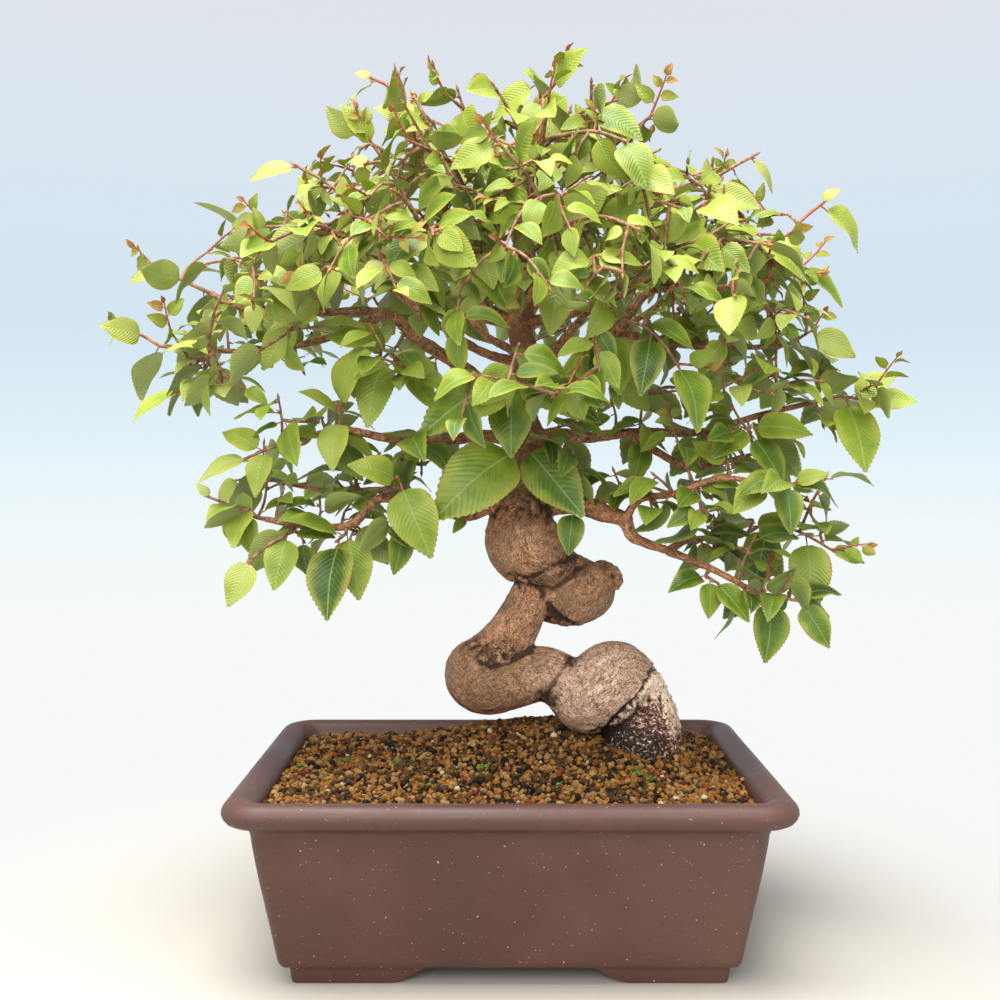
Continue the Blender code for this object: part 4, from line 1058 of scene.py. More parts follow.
def young_shade():
    """The bronze and yellow-green skin of leaves that have just opened."""
    shade = Shade("leaf_young", 0.45, 0.4)
    share, lot = shade.map("lot")
    mottle = shade.noise(shade.place(), 240.0, 3.0)
    tone = shade.math("ADD", lot, shade.math("MULTIPLY", shade.math("SUBTRACT", mottle, 0.5), 0.5))
    base = shade.ramp(
        tone, (0.0, (196, 120, 78)), (0.25, (206, 162, 88)), (0.5, (180, 184, 76)), (1.0, (150, 182, 66)),
    )
    base = shade.mix(shade.between(share, 0.7, 1.0, 0.0, 0.35), base, linear(206, 132, 86))
    _, middle, rise = vein_height(shade)
    base = shade.mix(shade.math("MULTIPLY", middle, 0.5), base, linear(226, 190, 130))
    shade.colour(base)
    shade.height(rise, 0.0004, 0.6)
    shade.let_through(0.35, base)
    return shade.material


def twig_shade(name, dark, light, roughness):
    """A thin skin of two tones, finely uneven."""
    shade = Shade(name, roughness, 0.4)
    place = shade.place()
    shade.colour(shade.ramp(shade.noise(place, 420.0, 4.0), (0.3, dark), (0.7, light)))
    shade.height(shade.noise(place, 900.0, 2.0), 0.0003, 0.6)
    return shade.material


def bark_shade():
    """Smooth bark, pale to brown, finely fibred lengthwise, crusted at the root, with painted shade in its
    folds and hollows.
    """
    shade = Shade("bark", 0.62, 0.3)
    grain = shade.add("ShaderNodeAttribute", attribute_name="grain").outputs["Vector"]
    # Painted shade of the folds, the root's crust and a brown tint, one to a channel.
    painted_shade_crust_tint = shade.add("ShaderNodeAttribute", attribute_name="painted_shade_crust_tint").outputs["Color"]
    painted_shade_crust_tint = shade.add("ShaderNodeSeparateColor", {0: painted_shade_crust_tint})
    fold, root, brown = painted_shade_crust_tint.outputs[0], painted_shade_crust_tint.outputs[1], painted_shade_crust_tint.outputs[2]
    kind = shade.add("ShaderNodeAttribute", attribute_name="kind").outputs["Vector"]
    kind = shade.add("ShaderNodeSeparateXYZ", {0: kind})
    limb, crust_light_and_tone, cracked = kind.outputs[0], kind.outputs[1], kind.outputs[2]
    mottle = shade.noise(shade.stretched(grain, (280.0, 330.0, 330.0)), 1.0, 3.0, 0.6)
    fibres = shade.noise(shade.stretched(grain, (700.0, 980.0, 980.0)), 1.0, 4.0, 0.7, 1.6)
    flecks = shade.noise(shade.stretched(grain, (760.0, 1250.0, 1250.0)), 1.0, 2.0, 0.6, 1.8)
    pits = shade.noise(grain, 1000.0, 2.0, 0.6)
    patches = shade.noise(grain, 60.0, 4.0, 0.6)
    tone = shade.math("ADD", shade.math("MULTIPLY", mottle, 0.26), shade.math("MULTIPLY", fibres, 0.74))
    base = shade.ramp(
        tone, (0.39, (92, 68, 52)), (0.46, (172, 138, 114)), (0.53, (216, 181, 157)), (0.60, (244, 220, 200)),
    )
    tint = shade.mix(brown, linear(255, 250, 246), linear(228, 200, 170))
    tint = shade.mix(limb, tint, linear(240, 200, 160))
    base = shade.mix(1.0, base, tint, "MULTIPLY")
    dull = shade.between(brown, 0.1, 1.0, 0.15, 0.85)
    dull = shade.math("MULTIPLY", shade.between(patches, 0.46, 0.60), dull)
    base = shade.mix(shade.math("MULTIPLY", dull, 0.55), base, linear(108, 84, 56))
    base = shade.mix(shade.between(flecks, 0.53, 0.62, 0.0, 0.85), base, linear(80, 54, 36))
    pale = shade.math("MULTIPLY", shade.between(pits, 0.57, 0.68), shade.between(brown, 0.0, 1.0, 0.45, 0.2))
    base = shade.mix(pale, base, linear(244, 226, 206))
    splits = shade.noise(shade.stretched(grain, (900.0, 420.0, 420.0)), 1.0, 3.0, 0.65, 1.0)
    splits = shade.math("MULTIPLY", shade.between(splits, 0.48, 0.56), shade.between(cracked, 0.05, 0.6))
    base = shade.mix(shade.math("MULTIPLY", splits, 0.8), base, linear(60, 40, 28))
    chips = shade.noise(grain, 520.0, 4.0, 0.72, 0.8)
    # The crust's tone: paler where it faces right and stands higher, partly its own tone and partly painted
    # light; its darkest stop is a painted shadow under the lobe.
    high = shade.math("ADD", chips, shade.math("MULTIPLY", shade.math("SUBTRACT", crust_light_and_tone, 0.5), 0.40))
    crust = shade.ramp(
        high, (0.40, (24, 6, 2)), (0.48, (90, 32, 16)), (0.55, (186, 142, 112)), (0.64, (250, 222, 192)),
    )
    grit = shade.noise(grain, 900.0, 3.0, 0.65, 0.6)
    gritty = shade.between(chips, 0.44, 0.56, 0.1, 1.0)
    gritty = shade.math("MULTIPLY", shade.between(grit, 0.57, 0.61), gritty)
    crust = shade.mix(gritty, crust, linear(246, 226, 212))
    crust = shade.mix(shade.between(grit, 0.45, 0.39, 0.0, 0.85), crust, linear(30, 12, 6))
    edge = shade.math("ADD", root, shade.math("MULTIPLY", shade.math("SUBTRACT", patches, 0.5), 0.4))
    base = shade.mix(shade.between(edge, 0.15, 0.55, 0.0, 0.95), base, crust)
    # Painted shade: the bark darkens in its folds, creases, knots and hollows, to near black at the root.
    ragged = shade.math("ADD", fold, shade.math("MULTIPLY", shade.math("SUBTRACT", fibres, 0.5), 1.5))
    painted_shade_tone = shade.mix(root, linear(50, 33, 22), linear(26, 9, 4))
    base = shade.mix(shade.between(ragged, 0.2, 0.9, 0.0, 0.92), base, painted_shade_tone)
    shade.colour(base)
    rough = shade.math("ADD", shade.math("MULTIPLY", mottle, 0.5), shade.math("MULTIPLY", fibres, 1.0))
    rough = shade.math("ADD", rough, shade.math("MULTIPLY", flecks, -0.4))
    rough = shade.math("SUBTRACT", rough, shade.math("MULTIPLY", splits, 0.5))
    shade.height(rough, 0.0013, 0.55)
    return shade.material


def clay_shade():
    """Satin unglazed clay: brown-mauve, paler to the right as painted light, speckled, with faint scuffs and
    a paler mauve lip.
    """
    shade = Shade("clay", 0.5, 0.45)
    place = shade.place()
    cloud = shade.noise(place, 14.0, 4.0)
    base = shade.ramp(cloud, (0.3, (71, 43, 35)), (0.55, (81, 50, 41)), (0.75, (92, 60, 49)))
    apart = shade.add("ShaderNodeSeparateXYZ", {0: place})
    # Painted light: the clay grows paler towards the right.
    base = shade.mix(shade.between(apart.outputs[0], 0.02, 0.11, 0.0, 0.6), base, linear(98, 68, 57))
    lip = shade.between(apart.outputs[2], 0.060, 0.074)
    base = shade.mix(shade.math("MULTIPLY", lip, 0.5), base, linear(88, 60, 57))
    scuff = shade.noise(shade.stretched(place, (9.0, 9.0, 160.0)), 6.0, 4.0, 0.7)
    base = shade.mix(shade.between(scuff, 0.60, 0.74, 0.0, 0.20), base, linear(128, 104, 92))
    speck = shade.noise(place, 900.0, 1.0)
    base = shade.mix(shade.between(speck, 0.74, 0.78, 0.0, 0.75), base, linear(196, 178, 166))
    pits = shade.noise(place, 620.0, 2.0)
    base = shade.mix(shade.between(pits, 0.30, 0.24, 0.0, 0.6), base, linear(58, 42, 40))
    shade.colour(base)
    shade.feed(shade.shader.inputs["Roughness"], shade.between(cloud, 0.3, 0.7, 0.42, 0.58))
    rough = shade.math("ADD", shade.noise(place, 380.0, 4.0), shade.math("MULTIPLY", pits, 0.6))
    shade.height(rough, 0.0004, 0.35)
    return shade.material


def grain_shade(name, dark, light):
    """A grain's dull surface of two tones."""
    shade = Shade("grain_" + name, 0.9, 0.2)
    place = shade.place()
    shade.colour(shade.ramp(shade.noise(place, 330.0, 2.0), (0.32, dark), (0.68, light)))
    shade.height(shade.noise(place, 1500.0, 3.0), 0.0004, 0.7)
    return shade.material


def ground_shade():
    """The dusty fines between the grains."""
    shade = Shade("soil_fines", 0.95, 0.15)
    place = shade.place()
    shade.colour(shade.ramp(
        shade.noise(place, 700.0, 4.0, 0.7), (0.3, (26, 19, 15)), (0.5, (62, 42, 28)), (0.7, (104, 74, 46)),
    ))
    shade.height(shade.noise(place, 900.0, 4.0), 0.0012, 1.0)
    return shade.material


class Build:
    """A mesh in the making: points, their places on two maps, faces and each face's material."""

    def __init__(self):
        self.points, self.blade, self.lot, self.faces, self.kinds = [], [], [], [], []

    def add(self, points, faces, kind, blade=None, lot=None):
        first = len(self.points)
        self.points += points
        self.blade += blade or [(0.0, 0.0)] * len(points)
        self.lot += lot or [(0.0, 0.5)] * len(points)
        self.faces += [tuple(first + i for i in face) for face in faces]
        self.kinds += kind if isinstance(kind, list) else [kind] * len(faces)

    def finish(self, name, materials):
        """The piece, smooth all over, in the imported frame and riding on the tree."""
        mesh = bpy.data.meshes.new(name)
        mesh.from_pydata([Vector(p) * MM + SHIFT for p in self.points], [], self.faces)
        corners = np.zeros(len(mesh.loops), np.int32)
        mesh.loops.foreach_get("vertex_index", corners)
        for map_name, values in (("blade", self.blade), ("lot", self.lot)):
            layer = mesh.uv_layers.new(name=map_name)
            layer.uv.foreach_set("vector", np.array(values, np.float32)[corners].ravel())
        mesh.polygons.foreach_set("material_index", np.array(self.kinds, np.int32))
        for material in materials:
            mesh.materials.append(material)
        mesh.shade_smooth()
        mesh.set_sharp_from_angle(angle=math.radians(80))
        piece = linked(name, mesh)
        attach(piece, "root")
        return piece


TOP, UNDER, YOUNG, TWIG, SHOOT, BUD = range(6)


def outline_at(along):
    """Half the blade's width at a share of its length, as a share of its widest."""
    for (a, wide), (b, next_wide) in zip(BLADE_OUTLINE, BLADE_OUTLINE[1:]):
        if along <= b:
            return wide + (next_wide - wide) * (along - a) / (b - a)
    return BLADE_OUTLINE[-1][1]


def fine_blade(build, leaf, lot, rng, grid):
    """A folded and waved blade as a thin closed lens with a tooth to each row of its rim, and its stalk."""
    rows, columns = BLADE_GRIDS[grid]
    root, axis = leaf["root"], leaf["tip"] - leaf["root"]
    length = axis.length
    side = axis.cross(leaf["normal"]).normalized()
    face = side.cross(axis).normalized()
    wave, phase = rng.uniform(*WAVE), rng.uniform(0, 2 * math.pi)
    sweep, droop = rng.uniform(-SWEEP, SWEEP), rng.uniform(*DROOP)
    points, blade, lots = [], [], []

    def add_place(t, share, tooth=0.0):
        half = outline_at(t) * BLADE_SHARE * leaf["width"] / 2
        out = half * share + math.copysign(TOOTH_OUT * tooth, share)
        along = BLADE_START + (1 - BLADE_START) * (t + TOOTH_AHEAD * max(tooth, 0.0))
        lift = leaf["arch"] * math.sin(math.pi * along) + leaf["fold"] * abs(out) * (1.15 - 0.3 * abs(share))
        lift += wave * math.sin(phase + 11 * t + 1.3 * math.copysign(1, share)) * share * share
        lift += 0.5 * droop * math.sin(math.pi * min(1.0, 1.25 * t)) - droop * t ** 3
        points.append(root + axis * along + (side * (out + sweep * t * t) + face * lift) * length)
        blade.append((t, 0.5 + half * share))
        lots.append((abs(share), lot))

    shares = [-c for c in reversed(columns)] + [0.0] + list(columns)
    wide = len(shares)
    for i in range(rows + 1):
        for share in shares:
            add_place(i / rows, share)
    rims = []
    for way in (-1.0, 1.0):
        rims.append(len(points))
        for j in range(2 * rows + 1):
            tooth = 0.0 if j in (0, 2 * rows) else (1.0 if j % 2 else -0.3)
            add_place(j / (2 * rows), way, tooth)
    inner = range(wide, wide * rows)
    under = {k: len(points) + k - wide for k in inner}
    half_thick = face * (BLADE_THICK / 2)
    points += [points[k] - half_thick for k in inner]
    blade += [blade[k] for k in inner]
    lots += [lots[k] for k in inner]
    for k in inner:
        points[k] = points[k] + half_thick
    faces, kinds = [], []
    for i in range(rows):
        a, left, right = i * wide, rims[0] + 2 * i, rims[1] + 2 * i
        b = a + wide
        found = [(a + c, a + c + 1, b + c + 1, b + c) for c in range(wide - 1)]
        found.append((b - 1, right, right + 1, right + 2, b + wide - 1))
        found.append((left, a, b, left + 2, left + 1))
        for ring in found:
            faces += [ring, tuple(under.get(k, k) for k in reversed(ring))]
            kinds += [YOUNG, YOUNG] if grid == "young" else [TOP, UNDER]
    build.add(points, faces, kinds, blade, lots)
    base = root + axis * (BLADE_START + 0.03)
    lift = face * (leaf["arch"] * math.sin(math.pi * BLADE_START) * length - BLADE_THICK * 0.5)
    bow = root.lerp(base, 0.5) + face * 0.6
    stalk = [(*root, STALK_RADIUS[0]), (*bow, STALK_RADIUS[1]), (*(base + lift), STALK_RADIUS[1] * 0.8)]
    scale = 0.6 if grid == "young" else 1.0
    build.add(*tube([(x, y, z, r * scale) for x, y, z, r in stalk], 4), SHOOT)


def add_bud(build, place, way, scale=1.0):
    """A pointed bud on a twig."""
    way = way.normalized()
    shape = ((0.0, 0.55), (0.38, 1.0), (1.0, 0.08))
    path = [(*(place + way * BUD_LONG * scale * t), BUD_RADIUS * scale * r) for t, r in shape]
    build.add(*tube(path, 5), BUD)


def leaf_tone_and_light(place, rng):
    """A leaf's tone: lighter high up and far out, where leaves are younger, with painted light there and to
    the left, and painted shade inside and to the right.
    """
    out = abs(place.x) / DOME_LONG
    high = (place.z - 150) / (DOME_TOP - 150)
    # Painted light and shade: lighter high, out and to the left, darker inside and to the right.
    return clamped(0.21 + 0.30 * out + 0.46 * high - 0.0007 * place.x + rng.gauss(0, 0.17))


def inside_box(points):
    """True where all these points lie within the solids' box, and a little more."""
    low, high = cad_box
    room = BOX_ROOM * MM
    return all(
        low[a] - room < p[a] * MM + SHIFT[a] < high[a] + room for p in points for a in range(3)
    )


def under_dome(place):
    """How far a place lies under the dome's surface."""
    out = math.hypot((place.x - 3) / (DOME_LONG * (DOME_RIGHT if place.x > 3 else 1)), place.y / DOME_WIDE)
    return DOME_TOP - DOME_FALL * out ** DOME_POWER - place.z


def out_of_picture(leaf):
    """True where a leaf would show above the crown's outline in the photo, or hide its bare trunk."""
    left, right, top = BARE_TRUNK
    for place in (leaf["root"], leaf["tip"]):
        u, v, _ = pictured(place)
        if v < np.interp(u, *zip(*CROWN_LINE)) or (left < u < right and v > top):
            return True
    return False


def young_tip(build, grove, path, rng):
    """A thin red shoot off a twig's end: leaves by turns to both sides, smaller and redder to its tip."""
    end, before = Vector(path[-1][:3]), Vector(path[-2][:3])
    if rng.random() > (YOUNG_SHARE if under_dome(end) < YOUNG_DEPTH else YOUNG_SHARE / 8):
        return
    way = (end - before).normalized() + Vector((0, 0, rng.uniform(0.2, 1.1)))
    way = (way + stray_vector(rng) * 0.2).normalized()
    long = rng.uniform(*YOUNG_SHOOT)
    places = [end, end + way * long * 0.5 + stray_vector(rng) * 0.04 * long, end + way * long]
    if not inside_box(places + [places[-1] + way * 8]):
        return
    shoot = [(*p, r) for p, r in zip(places, (0.6, 0.46, 0.3))]
    if grove.clashes(*tube(shoot[1:], 4), "young"):
        return
    fine = curve_through(shoot, FINE_STEP)
    build.add(*tube(fine, 6), SHOOT)
    add_bud(build, places[-1], way, 0.6)
    flat = way.orthogonal().normalized()
    flat = Matrix.Rotation(rng.uniform(0, math.pi), 3, way) @ flat
    count = 2 + round(long / 7)
    for k in range(count):
        share = 0.3 + 0.7 * k / (count - 1)
        here, _ = twig_place(fine, share)
        side = 0 if k == count - 1 else (-1) ** k
        size = rng.uniform(*YOUNG_LONG) * (1.25 - 0.75 * share)
        out = way * rng.uniform(0.6, 1.0) + flat * side - Vector((0, 0, rng.uniform(0.0, 0.4)))
        tip = here + out.normalized() * size
        leaf = leaf_between(here, tip, rng, way.cross(flat) + Vector((0, -0.3, 0.6)))
        leaf["fold"] = rng.uniform(0.2, 0.7)
        if inside_box([tip]):
            fine_blade(build, leaf, clamped(1.15 - share + rng.uniform(-0.15, 0.15)), rng, "young")


def twig_build(build, places, leaves, kind=TWIG, girth=1.0):
    """A twig with a bud at its tip and beside every other leaf."""
    path = with_radius(curve_through(places, FINE_STEP), TWIG_ROOT * girth, TWIG_TIP * girth)
    path = [(x, y, z, r * (1 + 0.14 * noise.noise(Vector((x, y, z)) * 0.5))) for x, y, z, r in path]
    build.add(*tube(path, FINE_SIDES), kind)
    along = (Vector(path[-1][:3]) - Vector(path[-2][:3])).normalized()
    add_bud(build, Vector(path[-1][:3]), along)
    for leaf in leaves[::2]:
        way = (leaf["tip"] - leaf["root"]).normalized() + along * 1.4
        add_bud(build, leaf["root"], way, 0.8)


def shoot_targets(limbs):
    """Places that a shoot should reach: thick spots, shells under the dome, its front and round low limbs."""
    rng = random.Random(31)
    for u, v, depths in THICK_SPOTS:
        for depth in depths:
            yield Vector(seen(u, v, depth))
    for shell, (count, depth, wide) in enumerate(SHELLS):
        for k in range(count):
            out = wide * math.sqrt((k + 0.5) / count)
            x, y, z = dome_place(137.5 * k + 50 * shell, out)
            yield Vector((x, y, z - depth)) + stray_vector(rng) * 4
    for _ in range(FRONT_FILL):
        x, y, z = dome_place(rng.uniform(205, 335), rng.uniform(0.25, 0.85))
        yield Vector((x, y, z - rng.uniform(22, 84)))
    for name in LOW_LIMBS:
        path = curve_through(limbs[name], LOW_STEP)
        for x, y, z, _ in path[len(path) // 3:]:
            for _ in range(2):
                stray = Vector((rng.uniform(-1, 1), rng.uniform(-1.2, 1.2), rng.uniform(-0.5, 1.0)))
                yield Vector((x, y, z)) + stray * LOW_SPREAD


def shoot_leaf(path, share, side, rng):
    """A leaf of a shoot: smaller towards the top, and more often laid level than hanging."""
    leaf = rule_leaf(path, share, side, rng)
    root, way = leaf["root"], leaf["tip"] - leaf["root"]
    size = rng.uniform(*SHOOT_SCALE) - TOP_SHRINK * clamped((root.z - 240) / 120)
    length = way.length * size
    if rng.random() < LAID_SHARE:
        flat = Vector((way.x, way.y, 0.0)).normalized()
        way = flat - Vector((0, 0, rng.uniform(-0.15, 0.65)))
        outward = Vector((root.x, root.y, 0.0)).normalized() * rng.uniform(0.1, 0.8)
        leaf["normal"] = (outward + Vector((0, -0.25, 1.0)) + stray_vector(rng) * 0.35).normalized()
        leaf["arch"] = rng.uniform(0.04, 0.15)
    leaf["tip"] = root + way.normalized() * length
    return leaf


def grow_shoots(limbs, grove, twigs):
    """More twigs and leaves, each from a near limb or twig to a target, clear of all that grew before."""
    anchors = []
    for name, path in limbs.items():
        for i, (x, y, z, r) in enumerate(curve_through(path, 5.0)):
            if i > 3 and r < 4.5 and (name != "leader" or z > 250):
                anchors.append((Vector((x, y, z)), r))
    for path in twigs:
        for x, y, z, r in curve_through(path, 5.0)[1:-1]:
            anchors.append((Vector((x, y, z)), r))
    shoots = []
    for start, root, tip in SHOWN_LEAVES:
        rng = random.Random(f"{tip}")
        half = Vector(seen(*start)).lerp(Vector(seen(*root)), 0.5)
        path = twig_path([seen(*start), tuple(half), seen(*root)])
        shoots.append((path, [leaf_between(seen(*root), seen(*tip), rng, DRAWN_FACING)]))
        grove.hold(*leaf_solid(shoots[-1][1][0], SHOOT_THICK), tip, "leaf")
    for n, target in enumerate(shoot_targets(limbs)):
        rng = random.Random(1000 + n)
        near = sorted(anchors, key=lambda a: (a[0] - target).length)[:SHOOT_TRIES]
        for start, _ in near:
            away = (target - start).length
            if not REACH[0] < away < REACH[1]:
                continue
            bow = stray_vector(rng) * 0.12 * away + Vector((0, 0, 0.06 * away))
            places = [start, start.lerp(target, 0.5) + bow, target + stray_vector(rng) * 3]
            path = twig_path([tuple(p) for p in places])
            clear = [(*p[:3], p[3] + 0.1) for p in curve_through(path, 6.0)]
            clear = clear[min(2, len(clear) - 2):]
            if inside_box(places) and not grove.clashes(*tube(clear, TWIG_SIDES), "shoot"):
                break
        else:
            continue
        grove.hold(*tube(clear, TWIG_SIDES), f"shoot_{n}", "twig")
        leaves = []
        count = rng.randint(*SHOOT_LEAVES) + int((target - start).length / LEAF_EVERY)
        for i in range(count):
            share = 0.22 + 0.78 * i / max(count - 1, 1)
            for _ in range(LEAF_ATTEMPTS):
                leaf = shoot_leaf(path, share - rng.uniform(0, 0.1), 0 if i == count - 1 else (-1) ** i, rng)
                blade = dict(leaf, root=leaf["root"].lerp(leaf["tip"], ROOT_SHARE))
                solid = leaf_solid(blade, SHOOT_THICK)
                if under_dome(leaf["tip"]) < CEILING or out_of_picture(leaf) or not inside_box(solid[0]):
                    continue
                if not grove.clashes(*solid, f"shoot_{n}", ("twig", "leaf")):
                    grove.hold(*solid, f"shoot_{n}", "leaf")
                    leaves.append(leaf)
                    break
        if len(leaves) < BARE_COUNT + (target - start).length / BARE_RUN:
            continue
        for x, y, z, r in curve_through(path, 5.0)[2:]:
            anchors.append((Vector((x, y, z)), r))
        shoots.append((path, leaves))
    return shoots


def clash_trunk(limbs):
    """The trunk's solid as points and faces, to try twigs and leaves against as its maker did."""
    trunk = mesh_object("clash", *upright(*STUMP, STUMP_RADIUS, STUMP_BOTTOM, STUMP_TOP, STUMP_SIDES))
    pieces = [build_core()]
    for name, path in limbs.items():
        sides = THIN_SIDES if path[0][3] < THIN_LIMB else LIMB_SIDES
        pieces.append(mesh_object(name, *tube(path, LEADER_SIDES if name == "leader" else sides)))
    combine(trunk, pieces, "UNION")
    solid = [v.co / MM for v in trunk.data.vertices], [tuple(p.vertices) for p in trunk.data.polygons]
    bpy.data.objects.remove(trunk)
    return solid


def twig_kind(name):
    """The red skin of this year's shoot on the sprays that end in one, else bark."""
    return SHOOT if name in RED_SPRAYS else TWIG


def build_foliage(limbs):
    """One fine piece for each leafy solid, and the shoots between them in pieces by bearing and height."""
    grove = Grove()
    sprays = grow_sprays(limbs, grove)
    shoots = grow_shoots(limbs, grove, [path for twigs, _ in sprays.values() for path in twigs])
    materials = [
        leaf_shade("leaf_top", (
            (0.0, (54, 84, 8)), (0.25, (94, 127, 24)), (0.5, (140, 163, 44)), (0.75, (167, 182, 70)),
            (1.0, (182, 191, 106)),
        ), (190, 188, 72), (206, 212, 156), 0.26),
        leaf_shade("leaf_under", (
            (0.0, (108, 130, 58)), (0.5, (150, 168, 84)), (1.0, (182, 192, 118)),
        ), (190, 192, 96), (206, 214, 158), 0.26),
        young_shade(),
        twig_shade("twig_bark", (90, 58, 38), (176, 134, 98), 0.7),
        twig_shade("shoot_skin", (134, 62, 42), (182, 104, 70), 0.5),
        twig_shade("bud_scales", (120, 72, 38), (184, 136, 80), 0.55),
    ]
    leaf_count = 0
    for name, (twigs, leaves) in sprays.items():
        rng = random.Random(name + " fine")
        build = Build()
        for path in twigs:
            twig_build(build, [p[:3] for p in path], leaves if path is twigs[0] else (), twig_kind(name))
            young_tip(build, grove, path, rng)
        for leaf in leaves:
            fine_blade(build, leaf, leaf_tone_and_light(leaf["tip"], rng), rng, "fine")
        leaf_count += len(leaves)
        piece = build.finish(name.replace("spray", "leaves"), materials)
        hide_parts(name)
    groups = {}
    for n, (path, leaves) in enumerate(shoots):
        end = Vector(path[-1][:3])
        sector = int((math.degrees(math.atan2(end.y, end.x)) % 360) / (360 / SECTORS))
        storey = int(end.z > STOREY)
        rng = random.Random(7000 + n)
        build = groups.setdefault((sector, storey), Build())
        twig_build(build, [p[:3] for p in path], leaves, girth=SHOOT_GIRTH)
        for leaf in leaves:
            deep = under_dome(leaf["tip"]) > DEEP and leaf["tip"].y > -20
            fine_blade(build, leaf, leaf_tone_and_light(leaf["tip"], rng), rng, "deep" if deep else "plain")
        young_tip(build, grove, path, rng)
        leaf_count += len(leaves)
    for (sector, storey), build in sorted(groups.items()):
        piece = build.finish(f"shoots_{sector + 1}_{'high' if storey else 'low'}", materials)
    print("leaves in all", leaf_count)


def bark_lines(limbs):
    """Places along the trunk and each limb: the length so far, the way on and a side that turns little."""
    route = curve_through([(*seen(u, v, y), r) for u, v, y, r in SNAKE], 1.5)
    lines = [(route + curve_through(limbs["leader"], 1.5), 0.0)]
    lines += [(curve_through(path, 2.0), 50.0 + 10 * i) for i, path in enumerate(limbs.values())]
    found = []
    for line, start in lines:
        places = [Vector(p[:3]) for p in line]
        across, done = Vector((0.3, 1.0, 0.2)), start
        for i, place in enumerate(places):
            along = places[min(i + 1, len(places) - 1)] - places[max(i - 1, 0)]
            if along.length < 1e-6:
                continue
            along.normalize()
            across = (across - along * across.dot(along)).normalized()
            found.append((place, done, along, across.copy(), line[i][3]))
            done += (places[min(i + 1, len(places) - 1)] - place).length
    return found


def around_each(mesh, values, rounds):
    """The values after each vertex has taken its neighbours' mean this many times."""
    edges = np.zeros(2 * len(mesh.edges), np.int32)
    mesh.edges.foreach_get("vertices", edges)
    edges = edges.reshape(-1, 2)
    count = np.bincount(edges.ravel(), minlength=len(values)).reshape(-1, *([1] * (values.ndim - 1)))
    for _ in range(rounds):
        total = np.zeros_like(values)
        np.add.at(total, edges[:, 0], values[edges[:, 1]])
        np.add.at(total, edges[:, 1], values[edges[:, 0]])
        values = total / np.maximum(count, 1)
    return values


def hollows(mesh, rounds):
    """How far each vertex lies under its surroundings, in millimetres."""
    places = np.zeros(3 * len(mesh.vertices), np.float32)
    mesh.vertices.foreach_get("co", places)
    places = places.reshape(-1, 3) / MM
    normals = np.zeros(3 * len(mesh.vertices), np.float32)
    mesh.vertices.foreach_get("normal", normals)
    return ((around_each(mesh, places, rounds) - places) * normals.reshape(-1, 3)).sum(1)


def nearness(place, spots):
    """How near a place is to the nearest of the spots given by u, v, y and reach: 1 on it, 0 out of reach."""
    return max(max(0.0, 1 - (place - Vector(seen(u, v, y))).length / reach) for u, v, y, reach in spots)


def pictured(place):
    """Where a place shows in the photo, and how many millimetres a pixel is there."""
    reach = (place.y - EYE[1]) / FOCAL
    return MIDDLE_U + (place.x - EYE[0]) / reach, HORIZON_V - (place.z - EYE[2]) / reach, reach


def from_line(u, v, line):
    """How many pixels a place is from a line through these places, both in the photo."""
    best = 1e9
    for (a, b), (c, d) in zip(line, line[1:]):
        run = (c - a) ** 2 + (d - b) ** 2
        share = clamped(((u - a) * (c - a) + (v - b) * (d - b)) / run)
        best = min(best, math.hypot(u - a - share * (c - a), v - b - share * (d - b)))
    return best


def marks_at(place, normal):
    """How far creases and knots lift the bark here, how much shade they and the hollows paint on it, and how
    crusted the root is.
    """
    u, v, reach = pictured(place)
    lift, dark = 0.0, 0.0
    if 440 < u < 690 and 480 < v < 780 and normal.dot(Vector(EYE) - place) > 0:
        for line, half, depth in CREASES:
            ragged = 0.75 + 0.6 * noise.noise(place * 0.16) + 0.6 * noise.noise(place * 0.5)
            away = from_line(u, v, line) * reach / (half * max(0.35, ragged))
            if away < 3:
                lift += depth * (0.35 * math.exp(-((away - 1.7) / 0.6) ** 2) - math.exp(-away * away))
                # Painted shade in the crease, or painted light along a ridge.
                dark += 0.4 * math.exp(-away * away) * min(1.0, depth)
        for a, b, size, pit, rim in KNOTS:
            away = math.hypot(u - a, v - b) * reach / size
            if away < 2:
                lift += rim * math.exp(-((away - 0.75) / 0.28) ** 2) - pit * math.exp(-(away / 0.42) ** 2)
                # Painted shade in the knot's pit and a painted shadow round its rim.
                shadow = 0.15 * math.exp(-((away - 1.15) / 0.2) ** 2)
                dark += 0.5 * pit * math.exp(-(away / 0.5) ** 2) + shadow
        # Painted shade in the hollows.
        for a, b, size, depth in PAINTED_SHADE_SPOTS:
            dark += depth * math.exp(-(((u - a) ** 2 + (v - b) ** 2) / (size * size)))
    (a, b), (c, d) = ROOT_EDGE
    beyond = ((u - a) * (d - b) - (v - b) * (c - a)) / math.hypot(c - a, d - b)
    crust = clamped((beyond + 1) / 3.5) if v > 655 and u > 590 else 0.0
    return lift, dark, crust


